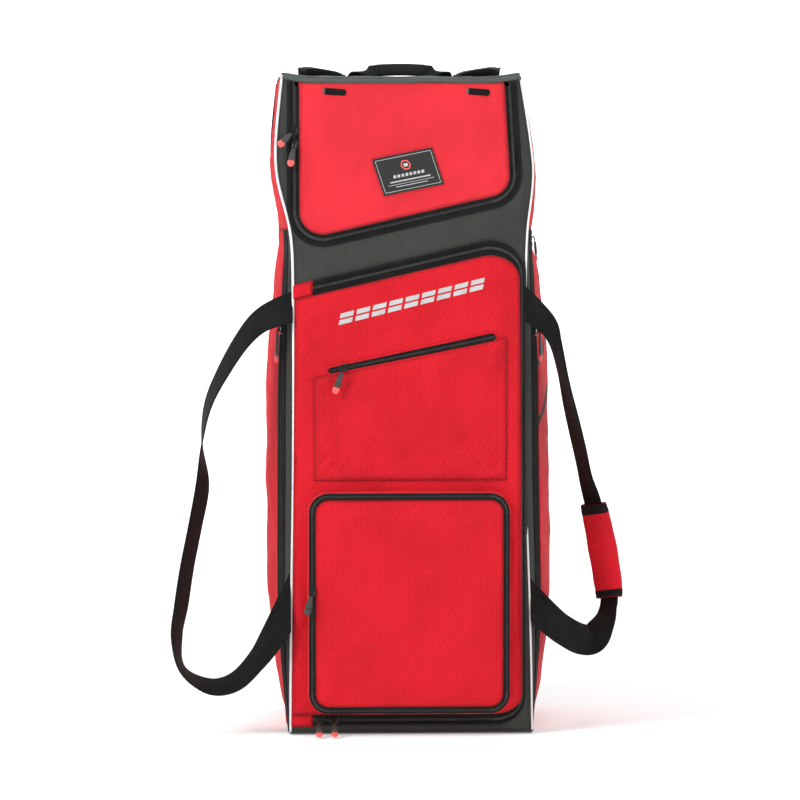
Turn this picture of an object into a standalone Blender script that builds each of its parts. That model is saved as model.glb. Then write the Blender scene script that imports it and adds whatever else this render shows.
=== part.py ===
"""A tall two-compartment equipment bag that stands upright on its own base.

Metres, +Z up. The origin is the middle of the underside; the front of the bag faces -Y.
Every sub-part is one object. Pieces that move together hang from one empty, which lies on
the axis that they turn about or slide along.
"""

import math

import bmesh
import bpy
from mathutils import Matrix, Vector

# ---------------------------------------------------------------- driving dimensions
BODY_HEIGHT = 0.940
BODY_DEPTH = 0.320
PANEL = 0.003  # padded fabric panel
LINING = 0.002
GAP = 0.0004  # between pieces that touch
PIPING_RADIUS = 0.0025
SEAM_INSET = 0.0038  # front and back panels stop this far inside the seam line
WEBBING_WIDTH = 0.045
WEBBING_THICK = 0.0028
GRIP_WEBBING = 0.031  # the same webbing pressed narrow inside its padded sleeve
GRIP_ROWS = (7, 10)  # the rows of the right handle's route that the sleeve covers
GRIP_OUTER, GRIP_SLOT = (0.045, 0.017), (0.035, 0.0075)  # width and thickness
ROUTE_STEPS = 3
ZIP_SLOPE = 0.230  # rise of every slanted zip from left to right

FRONT = -BODY_DEPTH / 2
BACK = BODY_DEPTH / 2
SKIN_IN = FRONT + PANEL  # inner face of the front panels

# Height, half width and sideways shift of the line where front and side meet.
EDGE_PROFILE = (
    (0.000, 0.1730, 0.003),
    (0.150, 0.1710, 0.002),
    (0.400, 0.1655, 0.000),
    (0.660, 0.1660, 0.000),
    (0.720, 0.1690, -0.001),
    (0.796, 0.1820, -0.006),
    (0.850, 0.1805, -0.009),
    (0.940, 0.1690, -0.012),
)
# Height and how far the filled side swells beyond that line.
SWELL_PROFILE = (
    (0.000, 0.002),
    (0.060, 0.014),
    (0.130, 0.025),
    (0.220, 0.033),
    (0.490, 0.036),
    (0.640, 0.024),
    (0.720, 0.013),
    (0.834, 0.005),
    (0.940, 0.001),
)
SWELL_POWER = 0.6

GUSSET_DEPTH = 0.010  # side strip between the front seam and the side zip, along Y
SIDE_ZIP_DEPTH = 0.026
SIDE_SPLIT = 0.720  # upper side panel above, side pocket below
TOP_ZIP_HEIGHT = 0.026  # the right pocket's zip turns back along its top

# The top flap: left, right at the top, right at the bottom, and its two lower corners.
FLAP_LEFT, FLAP_RIGHT_TOP, FLAP_RIGHT_LOW = -0.157, 0.135, 0.1445
FLAP_TOP, FLAP_LOW_LEFT, FLAP_LOW_RIGHT = 0.930, 0.7047, 0.7733
FLAP_RADII = (0.0, 0.034, 0.032, 0.0)
FLAP_ZIP = 0.0126  # both tapes and the teeth

# The main door and its zip.
DOOR_LEFT, DOOR_RIGHT = -0.1625, 0.1500
DOOR_BOTTOM, DOOR_TOP_LEFT = 0.0285, 0.6220
DOOR_RADIUS_TOP, DOOR_RADIUS_LOW = 0.036, 0.030
MAIN_ZIP_TOP, MAIN_ZIP_RIGHT, MAIN_ZIP_LOW = 0.0200, 0.0110, 0.0150
ZIP_START = -0.1375  # where the zip comes out from under its end tabs

MID_POCKET_LEFT, MID_POCKET_RIGHT = -0.1370, 0.1440
MID_POCKET_LOW, MID_POCKET_TOP_LEFT = 0.3640, 0.5105
MID_SLOPE = 0.205
MID_SLIDER_X = -0.095
MID_POCKET_DEPTH = 0.010
MID_ZIP = 0.0105

LOW_POCKET_LEFT, LOW_POCKET_RIGHT = -0.1440, 0.1417
LOW_POCKET_LOW, LOW_POCKET_TOP = 0.0330, 0.3470
LOW_POCKET_RADIUS = 0.028
LOW_POCKET_DEPTH = 0.024
LOW_POCKET_BAND = 0.0085
LOW_BAND_PROUD = 0.001  # the zip band stands proud of the pocket's cover

DIVIDER_HEIGHT = 0.705  # at the middle; it slopes as the zips do
LINING_X = 0.1540

SLIDER_LENGTH, SLIDER_WIDTH, SLIDER_HEIGHT = 0.0140, 0.0100, 0.0060
PULL_WIDTH, PULL_THICK = 0.0085, 0.0030
PULL_TAIL = 0.0013  # the pull reaches this far behind its eye
EYE_CLEAR = 0.0008  # room between slider and pull, so that the pull can turn

FLOOR_LIE = (0, -0.899, -0.4375)  # a tab beside the floor leans forward onto it

LABEL_SIZE = (0.087, 0.051, 0.0015)
LABEL_CENTRE = (0.0, 0.803)
LABEL_TILT = math.radians(11.4)

PIVOTS = {}


# ---------------------------------------------------------------- general helpers
def clear_scene():
    for obj in list(bpy.data.objects):
        bpy.data.objects.remove(obj, do_unlink=True)


def material(name, colour, roughness=0.85, metallic=0.0):
    made = bpy.data.materials.new(name)
    made.use_nodes = True
    shader = made.node_tree.nodes["Principled BSDF"]
    shader.inputs["Base Color"].default_value = (*colour, 1.0)
    shader.inputs["Roughness"].default_value = roughness
    shader.inputs["Metallic"].default_value = metallic
    made.diffuse_color = (*colour, 1.0)
    return made


def pivot(name, place, axis, parent=None):
    """An empty on a joint, with its X axis along the joint's. That body's pieces hang from it."""
    empty = bpy.data.objects.new("pivot_" + name, None)
    bpy.context.collection.objects.link(empty)
    empty.empty_display_size = 0.03
    turn = Vector(axis).to_track_quat("X", "Z")
    empty.rotation_mode = "QUATERNION"
    empty.rotation_quaternion = turn
    empty.location = place
    if parent:
        hang(empty, parent)
    PIVOTS[name] = (empty, Matrix.LocRotScale(Vector(place), turn, None))


def hang(obj, body):
    """Parents an object to a body's empty and leaves it where it is."""
    empty, place = PIVOTS[body]
    obj.parent = empty
    obj.matrix_parent_inverse = place.inverted()


def finish(name, bm, look, body=None, smooth=False):
    """Turns a bmesh in world coordinates into the named object, hung from its body's empty."""
    bmesh.ops.recalc_face_normals(bm, faces=bm.faces)
    mesh = bpy.data.meshes.new(name)
    bm.to_mesh(mesh)
    bm.free()
    if smooth:
        mesh.shade_smooth()
        mesh.set_sharp_from_angle(angle=math.radians(40))
    obj = bpy.data.objects.new(name, mesh)
    bpy.context.collection.objects.link(obj)
    mesh.materials.append(look)
    if body:
        hang(obj, body)
    return obj


def cut(obj, bm):
    """Cuts the object with a hidden solid given in world coordinates."""
    bmesh.ops.recalc_face_normals(bm, faces=bm.faces)
    mesh = bpy.data.meshes.new(obj.name + "_cutter")
    bm.to_mesh(mesh)
    bm.free()
    cutter = bpy.data.objects.new(obj.name + "_cutter", mesh)
    bpy.context.collection.objects.link(cutter)
    cutter.hide_render = True
    cutter.display_type = "WIRE"
    boolean = obj.modifiers.new("cut", "BOOLEAN")
    boolean.operation = "DIFFERENCE"
    boolean.solver = "EXACT"
    boolean.object = cutter


def smooth_step_curve(rows, height, column):
    """A smooth curve through a profile's rows at this height (Hermite, three-point slopes)."""
    height = min(max(height, rows[0][0]), rows[-1][0])
    last = len(rows) - 1
    i = next(n for n in range(last) if height <= rows[n + 1][0])

    def slope(n):
        a, b = rows[max(n - 1, 0)], rows[min(n + 1, last)]
        return (b[column] - a[column]) / (b[0] - a[0])

    span = rows[i + 1][0] - rows[i][0]
    t = (height - rows[i][0]) / span
    start, end = rows[i][column], rows[i + 1][column]
    return (
        start * (2 * t**3 - 3 * t**2 + 1)
        + end * (3 * t**2 - 2 * t**3)
        + span * (slope(i) * (t**3 - 2 * t**2 + t) + slope(i + 1) * (t**3 - t**2))
    )


def edge_x(height, side, inset=0.0):
    """X of the seam between front and side, on the side -1 or +1."""
    half = smooth_step_curve(EDGE_PROFILE, height, 1)
    return smooth_step_curve(EDGE_PROFILE, height, 2) + side * (half - inset)


def heights(low, high, step):
    count = max(1, round((high - low) / step))
    return [low + (high - low) * n / count for n in range(count + 1)]


# ---------------------------------------------------------------- outlines in the XZ plane
def moved_corners(corners, distances):
    """The corners after each edge of a counter-clockwise outline moves out by its distance."""
    lines = []
    for n, (x, z) in enumerate(corners):
        nx, nz = corners[(n + 1) % len(corners)]
        along = Vector((nx - x, nz - z)).normalized()
        out = Vector((along.y, -along.x))
        lines.append((Vector((x, z)) + out * distances[n], along))
    moved = []
    for n in range(len(corners)):
        (p, u), (q, v) = lines[n - 1], lines[n]
        t = (q - p).cross(v) / u.cross(v)
        moved.append(tuple(p + u * t))
    return moved


def rounded(corners, radii, steps=5):
    """The outline with each corner turned on its radius."""
    points = []
    for n, corner in enumerate(corners):
        corner = Vector(corner)
        if radii[n] <= 0:
            points.append(tuple(corner))
            continue
        before = (Vector(corners[n - 1]) - corner).normalized()
        after = (Vector(corners[(n + 1) % len(corners)]) - corner).normalized()
        half = before.angle(after) / 2
        centre = corner + (before + after).normalized() * radii[n] / math.sin(half)
        start = corner + before * radii[n] / math.tan(half) - centre
        turn = (math.pi - 2 * half) * (1 if before.cross(after) < 0 else -1)
        for k in range(steps + 1):
            a = turn * k / steps
            x = start.x * math.cos(a) - start.y * math.sin(a)
            y = start.x * math.sin(a) + start.y * math.cos(a)
            points.append((centre.x + x, centre.y + y))
    return points


def prism(points, near, far):
    """A solid between two Y planes from an outline in the XZ plane."""
    bm = bmesh.new()
    front = [bm.verts.new((x, near, z)) for x, z in points]
    back = [bm.verts.new((x, far, z)) for x, z in points]
    bm.faces.new(front)
    bm.faces.new(back[::-1])
    for n in range(len(points)):
        m = (n + 1) % len(points)
        bm.faces.new((front[n], back[n], back[m], front[m]))
    return bm


def slab(x, y, z):
    """A solid box between pairs of limits."""
    return prism([(x[0], z[0]), (x[1], z[0]), (x[1], z[1]), (x[0], z[1])], y[0], y[1])


def seam_outline(low, high, inset, step=0.03):
    """The outline between both front seams from one height to another."""
    levels = heights(low, high, step)
    left = [(edge_x(z, -1, inset), z) for z in reversed(levels)]
    return left + [(edge_x(z, 1, inset), z) for z in levels]


def flap_outline(out, top=0.0):
    corners = [
        (FLAP_LEFT, FLAP_TOP),
        (FLAP_LEFT, FLAP_LOW_LEFT),
        (FLAP_RIGHT_LOW, FLAP_LOW_RIGHT),
        (FLAP_RIGHT_TOP, FLAP_TOP),
    ]
    moved = moved_corners(corners, (out, out, out, top))
    return rounded(moved, [r + out if r else 0 for r in FLAP_RADII])


def door_outline(share, left, extra=0.0):
    """The door's outline grown into its zip by a share from 0 (the door) to 1 (outer tape)."""
    top_right = DOOR_TOP_LEFT + ZIP_SLOPE * (DOOR_RIGHT - DOOR_LEFT)
    corners = [
        (DOOR_LEFT, DOOR_TOP_LEFT),
        (DOOR_LEFT, DOOR_BOTTOM),
        (DOOR_RIGHT, DOOR_BOTTOM),
        (DOOR_RIGHT, top_right),
    ]
    right = MAIN_ZIP_RIGHT * share + extra
    moved = moved_corners(
        corners,
        (DOOR_LEFT - left, MAIN_ZIP_LOW * share + extra, right, MAIN_ZIP_TOP * share + extra),
    )
    return rounded(moved, (0, 0, DOOR_RADIUS_LOW + right, DOOR_RADIUS_TOP + right))


def slanted_outline(left, right, low, high_left):
    rise = MID_SLOPE * (right - left)
    return [(left, high_left), (left, low), (right, low), (right, high_left + rise)]


def low_pocket_outline(inset):
    left, right = LOW_POCKET_LEFT + inset, LOW_POCKET_RIGHT - inset
    low, top = LOW_POCKET_LOW + inset, LOW_POCKET_TOP - inset
    return rounded(
        [(left, top), (left, low), (right, low), (right, top)],
        [LOW_POCKET_RADIUS - inset] * 4,
    )


# ---------------------------------------------------------------- curved solids
def side_point(side, depth, height):
    """A point of the swollen side, from its distance along Y and its height."""
    half = BODY_DEPTH / 2 - PANEL
    t = min(abs(depth / half), 1.0)
    swell = smooth_step_curve(SWELL_PROFILE, height, 1) * (1 - t * t) ** SWELL_POWER
    return Vector((edge_x(height, side) + side * swell, depth, height))


def side_normal(side, depth, height):
    d = 0.002
    half = BODY_DEPTH / 2 - PANEL - d
    depth = min(max(depth, -half), half)
    along = side_point(side, depth + d, height) - side_point(side, depth - d, height)
    up = side_point(side, depth, height + d) - side_point(side, depth, height - d)
    return (along.cross(up) * side).normalized()


LEVEL = Matrix.Diagonal((1, 1, 0))  # keeps only the level part of a direction


def side_solid(side, depths, levels, thick):
    """A piece of the side as a closed shell of even thickness inside the swollen surface."""
    bm = bmesh.new()
    grids = []
    for drop in (0.0, thick):
        grids.append(
            [
                [
                    bm.verts.new(
                        side_point(side, y, z) - LEVEL @ side_normal(side, y, z) * drop
                    )
                    for y in depths
                ]
                for z in levels
            ]
        )
    join_grids(bm, *grids)
    return bm


def join_grids(bm, outer, inner):
    """Faces both grids of points and closes the rim between them."""
    rows, columns = len(outer), len(outer[0])
    for grid in (outer, inner):
        for i in range(rows - 1):
            for j in range(columns - 1):
                bm.faces.new((grid[i][j], grid[i][j + 1], grid[i + 1][j + 1], grid[i + 1][j]))
    rim = [(0, j) for j in range(columns)]
    rim += [(i, columns - 1) for i in range(1, rows)]
    rim += [(rows - 1, j) for j in range(columns - 2, -1, -1)]
    rim += [(i, 0) for i in range(rows - 2, 0, -1)]
    for n, (i, j) in enumerate(rim):
        k, m = rim[(n + 1) % len(rim)]
        bm.faces.new((outer[i][j], outer[k][m], inner[k][m], inner[i][j]))


def smooth_route(points, steps):
    """A smooth curve (Catmull-Rom) through rows of numbers, with this many steps between rows."""
    rows = [points[0], *points, points[-1]]
    route = []
    for n in range(1, len(rows) - 2):
        for k in range(steps):
            t = k / steps
            route.append(
                tuple(
                    0.5 * (2 * b + (c - a) * t + (2 * a - 5 * b + 4 * c - d) * t * t
                           + (3 * b - a - 3 * c + d) * t**3)
                    for a, b, c, d in zip(*rows[n - 1 : n + 3])
                )
            )
    return route + [tuple(points[-1])]


def ribbon_sections(route, level=None):
    """Centre, half-width vector and thickness direction at each row x, y, z, twist, width.

    The width lies in the XZ plane before the twist, or along the level direction if one is given.
    """
    sections = []
    centres = [Vector(row[:3]) for row in route]
    last = len(route) - 1
    for n, row in enumerate(route):
        along = (centres[min(n + 1, last)] - centres[max(n - 1, 0)]).normalized()
        flat = along.cross(Vector((0, -1, 0)))
        if level:
            flat = Vector(level) - along * along.dot(level)
        flat.normalize()
        face = along.cross(flat).normalized()
        twist = math.radians(row[3])
        across = flat * math.cos(twist) + face * math.sin(twist)
        out = across.cross(along).normalized()
        sections.append((centres[n], across * row[4] / 2, out))
    return sections


def ribbon(route, thick, level=None):
    """Flat webbing swept along a route, as a closed solid."""
    bm = bmesh.new()
    rings = []
    for centre, across, out in ribbon_sections(route, level):
        lift = out * thick / 2
        corners = (across + lift, lift - across, -across - lift, across - lift)
        rings.append([bm.verts.new(centre + corner) for corner in corners])
    for a, b in zip(rings, rings[1:]):
        for n in range(4):
            m = (n + 1) % 4
            bm.faces.new((a[n], b[n], b[m], a[m]))
    bm.faces.new(rings[0])
    bm.faces.new(rings[-1][::-1])
    return bm


def sleeve(route, outer, inner):
    """A padded sleeve with an open slot through it, swept along a route."""
    bm = bmesh.new()
    rings = []
    for centre, across, out in ribbon_sections(route):
        wide = across.normalized()
        pair = []
        for width, thick in (outer, inner):
            corners = [
                wide * math.copysign(width / 2, math.cos(a)) * min(1, 1.30 * abs(math.cos(a)))
                + out * math.copysign(thick / 2, math.sin(a)) * min(1, 1.30 * abs(math.sin(a)))
                for a in [math.radians(22.5 + 45 * k) for k in range(8)]
            ]
            pair.append([bm.verts.new(centre + c) for c in corners])
        rings.append(pair)
    for a, b in zip(rings, rings[1:]):
        for layer in (0, 1):
            for n in range(8):
                m = (n + 1) % 8
                bm.faces.new((a[layer][n], b[layer][n], b[layer][m], a[layer][m]))
    for outside, inside in (rings[0], rings[-1]):
        for n in range(8):
            m = (n + 1) % 8
            bm.faces.new((outside[n], outside[m], inside[m], inside[n]))
    return bm


def cord_tube(points, radius, sides=6):
    """A closed round tube along points that run mainly upwards."""
    bm = bmesh.new()
    rings = []
    for point in points:
        ring = []
        for k in range(sides):
            a = 2 * math.pi * k / sides
            ring.append(bm.verts.new(point + Vector((math.cos(a), math.sin(a), 0)) * radius))
        rings.append(ring)
    for a, b in zip(rings, rings[1:]):
        for n in range(sides):
            m = (n + 1) % sides
            bm.faces.new((a[n], b[n], b[m], a[m]))
    bm.faces.new(rings[0])
    bm.faces.new(rings[-1][::-1])
    return bm


# ---------------------------------------------------------------- the bag's shell
def make_front(looks):
    panel = finish(
        "front_upper_panel",
        prism(seam_outline(0.600, BODY_HEIGHT - PANEL - GAP, SEAM_INSET), FRONT, SKIN_IN),
        looks["grey"],
    )
    cut(panel, prism(flap_outline(FLAP_ZIP + GAP, GAP), FRONT - 0.01, SKIN_IN + 0.01))
    cut(panel, prism(door_outline(1, -0.25, GAP), FRONT - 0.01, SKIN_IN + 0.01))
    rail = finish(
        "front_lower_frame",
        prism(seam_outline(PANEL + GAP, 0.120, SEAM_INSET), FRONT, SKIN_IN),
        looks["grey"],
    )
    cut(rail, prism(door_outline(1, -0.25, GAP), FRONT - 0.01, SKIN_IN + 0.01))
    outer_tape = finish(
        "flap_zip_outer_tape", prism(flap_outline(FLAP_ZIP), FRONT, SKIN_IN), looks["black"]
    )
    inner = flap_outline(FLAP_ZIP / 2 + GAP / 2, 0.02)
    cut(outer_tape, prism(inner, FRONT - 0.01, SKIN_IN + 0.01))
    tape = finish(
        "main_zip_outer_tape", prism(door_outline(1, ZIP_START), FRONT, SKIN_IN), looks["black"]
    )
    cut(tape, prism(door_outline(0.5, -0.25, GAP / 2), FRONT - 0.01, SKIN_IN + 0.01))


def make_end_tabs(looks):
    """Stitched tabs that cover the two ends of the main zip on its hinge side."""
    right = ZIP_START - GAP
    left = DOOR_LEFT
    low = DOOR_TOP_LEFT + GAP
    rise = ZIP_SLOPE * (right - left)
    outline = [(left, low), (right, low + rise), (right, low + rise + 0.0195), (left, low + 0.0195)]
    finish("zip_end_tab_upper", prism(outline, FRONT, SKIN_IN), looks["red"])
    top = DOOR_BOTTOM - GAP
    tab = slab((left, right), (FRONT, SKIN_IN), (top - MAIN_ZIP_LOW + GAP, top))
    finish("zip_end_tab_lower", tab, looks["red"])


def make_shell(looks):
    top = BODY_HEIGHT
    for name, low, high in (("top_panel", top - PANEL, top), ("bottom_panel", 0.0, PANEL)):
        level = (low + high) / 2
        left, right = edge_x(level, -1), edge_x(level, 1)
        finish(name, slab((left, right), (FRONT, BACK), (low, high)), looks["grey"])
    outline = seam_outline(PANEL + GAP, top - PANEL - GAP, SEAM_INSET)
    finish("back_panel", prism(outline, BACK - PANEL, BACK), looks["black"])
    for side, word in ((-1, "left"), (1, "right")):
        make_side(looks, side, word)
    ends = [(-0.1625, -1), (0.1625, 1)]
    outline = [(x, DIVIDER_HEIGHT + ZIP_SLOPE * x - LINING / 2) for x, _ in ends]
    outline += [(x, z + LINING) for x, z in reversed(outline)]
    divider = prism(outline, SKIN_IN + GAP, BACK - PANEL - GAP)
    finish("compartment_divider", divider, looks["lining"])
    base = slab((-0.150, 0.150), (-0.150, 0.150), (PANEL + GAP, PANEL + GAP + 0.003))
    finish("base_board", base, looks["board"])
    low_y = BACK - PANEL - GAP
    back = slab((-0.148, 0.148), (low_y - 0.003, low_y), (0.012, 0.655))
    finish("back_board", back, looks["board"])


def make_side(looks, side, word):
    low, high = PANEL + GAP, BODY_HEIGHT - PANEL - GAP
    near, far = SKIN_IN + GAP, BACK - PANEL - GAP
    gusset_end = near + GUSSET_DEPTH
    zip_end = gusset_end + SIDE_ZIP_DEPTH
    levels = heights(low, SIDE_SPLIT - GAP, 0.055)
    gusset = side_solid(side, [near, near + 0.003, near + 0.006, gusset_end - GAP], levels, 0.0022)
    finish(word + "_side_gusset", gusset, looks["grey"], smooth=True)
    tape = side_solid(side, heights(gusset_end, zip_end - GAP, 0.009), levels, 0.0022)
    finish(word + "_side_zip_tape", tape, looks["black"], smooth=True)
    pocket_top = SIDE_SPLIT - GAP
    if side > 0:
        pocket_top -= TOP_ZIP_HEIGHT
        strip = [pocket_top + GAP, pocket_top + TOP_ZIP_HEIGHT / 2, SIDE_SPLIT - GAP]
        depths = heights(zip_end, far - 0.020, 0.02) + [far - 0.006, far]
        tape = side_solid(side, depths, strip, 0.0022)
        finish("right_side_top_zip_tape", tape, looks["black"], smooth=True)
    depths = [zip_end + (far - zip_end) * n / 11 for n in range(11)] + [far - 0.006, far]
    panel = side_solid(side, depths, heights(low, pocket_top, 0.05), 0.0024)
    finish(word + "_side_pocket_panel", panel, looks["red"], smooth=True)
    depths = [near, near + 0.006] + heights(near + 0.024, far - 0.024, 0.03) + [far - 0.006, far]
    upper = side_solid(side, depths, heights(SIDE_SPLIT, high, 0.03), 0.0024)
    finish(word + "_upper_side_panel", upper, looks["red"], smooth=True)
    lining_top = DIVIDER_HEIGHT + ZIP_SLOPE * side * LINING_X - 0.004
    inner, outer = sorted((side * LINING_X, side * (LINING_X + LINING)))
    lining = slab((inner, outer), (-0.152, 0.1525), (0.008, lining_top))
    finish(word + "_side_lining", lining, looks["lining"])
    points = [Vector((edge_x(z, side), FRONT, z)) for z in heights(low, high, 0.035)]
    finish(word + "_piping", cord_tube(points, PIPING_RADIUS), looks["white"], smooth=True)


# ---------------------------------------------------------------- the two doors
def make_flap(looks):
    pivot("top_flap", (0, FRONT, FLAP_TOP), (-1, 0, 0))
    panel = prism(flap_outline(FLAP_ZIP / 2 - GAP / 2), FRONT, SKIN_IN)
    finish("top_flap_panel", panel, looks["red"], "top_flap")
    face = FRONT - GAP
    for word, centre in (("left", -0.1065), ("right", 0.0975)):
        loop = slab((centre - 0.0165, centre + 0.0165), (face - 0.0030, face), (0.911, 0.921))
        finish(word + "_flap_loop", loop, looks["black"], "top_flap")
    wide, high, thick = LABEL_SIZE
    turned = []
    for sx, sz in ((-1, -1), (1, -1), (1, 1), (-1, 1)):
        x, z = sx * wide / 2, sz * high / 2
        turned.append(
            (
                LABEL_CENTRE[0] + x * math.cos(LABEL_TILT) - z * math.sin(LABEL_TILT),
                LABEL_CENTRE[1] + x * math.sin(LABEL_TILT) + z * math.cos(LABEL_TILT),
            )
        )
    finish("label_patch", prism(turned, face - thick, face), looks["black"], "top_flap")


def make_door(looks):
    pivot("main_door", (DOOR_LEFT, FRONT, 0.30), (0, 0, -1))
    panel = prism(door_outline(0, DOOR_LEFT, -GAP / 2), FRONT, SKIN_IN)
    finish("main_door_panel", panel, looks["red"], "main_door")
    tape = prism(door_outline(0.5, ZIP_START, -GAP / 2), FRONT, SKIN_IN)
    tape = finish("main_zip_inner_tape", tape, looks["black"], "main_door")
    cut(tape, prism(door_outline(0, -0.25, GAP / 2), FRONT - 0.01, SKIN_IN + 0.01))

    face = FRONT - GAP
    pocket = slanted_outline(
        MID_POCKET_LEFT, MID_POCKET_RIGHT, MID_POCKET_LOW, MID_POCKET_TOP_LEFT
    )
    panel = prism(pocket, face - MID_POCKET_DEPTH, face)
    panel = finish("mid_pocket_panel", panel, looks["red"], "main_door")
    hollow = moved_corners(pocket, (-0.0025, -0.0025, -0.0025, 0.01))
    cut(panel, prism(hollow, face - MID_POCKET_DEPTH + 0.0025, face + 0.01))
    low = MID_POCKET_TOP_LEFT + GAP
    rise = MID_SLOPE * (MID_POCKET_RIGHT - MID_POCKET_LEFT)
    band = [
        (MID_POCKET_LEFT, low),
        (MID_POCKET_RIGHT, low + rise),
        (MID_POCKET_RIGHT, low + rise + MID_ZIP),
        (MID_POCKET_LEFT, low + MID_ZIP),
    ]
    tape = prism(band, face - MID_POCKET_DEPTH, face)
    finish("mid_pocket_zip", tape, looks["black"], "main_door")

    wall = prism(low_pocket_outline(0), face - LOW_POCKET_DEPTH, face)
    wall = finish("lower_pocket_wall", wall, looks["red"], "main_door")
    cut(wall, prism(low_pocket_outline(0.003), face - 0.05, face + 0.01))
    front = face - LOW_POCKET_DEPTH - GAP
    pivot("lower_pocket_front", (0, front, LOW_POCKET_LOW), (1, 0, 0), "main_door")
    cover = prism(low_pocket_outline(LOW_POCKET_BAND + GAP), front - PANEL, front)
    finish("lower_pocket_cover", cover, looks["red"], "lower_pocket_front")
    band = prism(low_pocket_outline(0), front - PANEL - LOW_BAND_PROUD, front)
    band = finish("lower_pocket_zip_band", band, looks["black"], "lower_pocket_front")
    cut(band, prism(low_pocket_outline(LOW_POCKET_BAND), front - 0.02, front + 0.01))


# ---------------------------------------------------------------- zip sliders and pulls
def frame_at(place, outward, along):
    """Axes of a zip slider: along the zip, across it and out of the bag."""
    out = Vector(outward).normalized()
    run = Vector(along)
    run = (run - out * run.dot(out)).normalized()
    return Vector(place), run, out.cross(run), out


def local_solid(frame, outline, low, high):
    """A solid from an outline along and across the zip, between two heights above it."""
    place, run, across, out = frame
    bm = bmesh.new()
    layers = [
        [bm.verts.new(place + run * u + across * v + out * h) for u, v in outline]
        for h in (low, high)
    ]
    bm.faces.new(layers[0])
    bm.faces.new(layers[1][::-1])
    for n in range(len(outline)):
        m = (n + 1) % len(outline)
        bm.faces.new((layers[0][n], layers[1][n], layers[1][m], layers[0][m]))
    return bm


def make_zip_pull(looks, name, place, outward, along, lie, length, parent, lift=0.0):
    """A slider on its zip and the pull tab that hangs from it in the direction lie."""
    out = Vector(outward).normalized()
    base = Vector(place) + out * GAP
    frame = frame_at(base, outward, along)
    half, wide = SLIDER_LENGTH / 2, SLIDER_WIDTH / 2
    outline = [
        (-half, -wide * 0.6), (-half * 0.3, -wide), (half, -wide), (half, wide),
        (-half * 0.3, wide), (-half, wide * 0.6),
    ]
    pivot(name + "_slider", place, frame[1], parent)
    solid = local_solid(frame, outline, 0, SLIDER_HEIGHT)
    finish(name + "_slider", solid, looks["metal"], name + "_slider")

    eye = base + out * (SLIDER_HEIGHT + EYE_CLEAR + PULL_THICK / 2 + lift)
    lie = Vector(lie).normalized()
    if not lift:
        lie = (lie - out * lie.dot(out)).normalized()
    turn = lie.cross(out).normalized()
    pivot(name + "_pull", eye, turn, name + "_slider")
    side = PULL_WIDTH / 2
    outline = [
        (-PULL_TAIL, -side * 0.5), (0.008, -side * 0.6), (length * 0.45, -side * 0.8),
        (length - 0.004, -side), (length, -side * 0.6), (length, side * 0.6),
        (length - 0.004, side), (length * 0.45, side * 0.8), (0.008, side * 0.6),
        (-PULL_TAIL, side * 0.5),
    ]
    face = (eye, lie, turn, turn.cross(lie))
    tab = local_solid(face, outline, -PULL_THICK / 2, PULL_THICK / 2)
    finish(name + "_pull", tab, looks["pull"], name + "_pull")


def make_zip_pulls(looks):
    front, down, right = (0, -1, 0), (0, 0, -1), (1, 0, 0)
    flap_x = FLAP_LEFT - FLAP_ZIP / 2
    low_z = DOOR_BOTTOM - MAIN_ZIP_LOW / 2
    mid_y = FRONT - GAP - MID_POCKET_DEPTH
    mid_z = MID_POCKET_TOP_LEFT + GAP + MID_ZIP / 2
    mid_z += MID_SLOPE * (MID_SLIDER_X - MID_POCKET_LEFT)
    low_y = FRONT - 2 * GAP - LOW_POCKET_DEPTH - PANEL - LOW_BAND_PROUD
    low_x = LOW_POCKET_LEFT + LOW_POCKET_BAND / 2
    make_zip_pull(
        looks, "flap_upper", (flap_x, FRONT, 0.862), front, down, (-1, 0, -1), 0.032, "top_flap"
    )
    make_zip_pull(
        looks, "flap_lower", (flap_x, FRONT, 0.843), front, down, (-0.2, 0, -1), 0.033, "top_flap"
    )
    for name, x in (("main_left", -0.130), ("main_right", -0.108)):
        make_zip_pull(
            looks, name, (x, FRONT, low_z), front, right, FLOOR_LIE, 0.040, "main_door", 0.004
        )
    make_zip_pull(
        looks, "mid_pocket", (MID_SLIDER_X, mid_y, mid_z), front, (1, 0, MID_SLOPE),
        (-0.34, 0, -1), 0.038, "main_door"
    )
    make_zip_pull(
        looks, "lower_pocket", (low_x, low_y, 0.2085), front, down, (-0.24, 0, -1), 0.034,
        "lower_pocket_front"
    )
    zip_depth = SKIN_IN + GAP + GUSSET_DEPTH + SIDE_ZIP_DEPTH / 2
    top_zip = SIDE_SPLIT - TOP_ZIP_HEIGHT / 2
    for side, name, depth, height, along, length in (
        (-1, "left_side", zip_depth, 0.579, down, 0.048),
        (1, "right_side", zip_depth, 0.576, down, 0.045),
        (1, "right_top", 0.0, top_zip, (0, 1, 0), 0.036),
    ):
        place = side_point(side, depth, height)
        out = side_normal(side, depth, height)
        make_zip_pull(looks, name, place, out, along, down, length, None)


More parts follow.
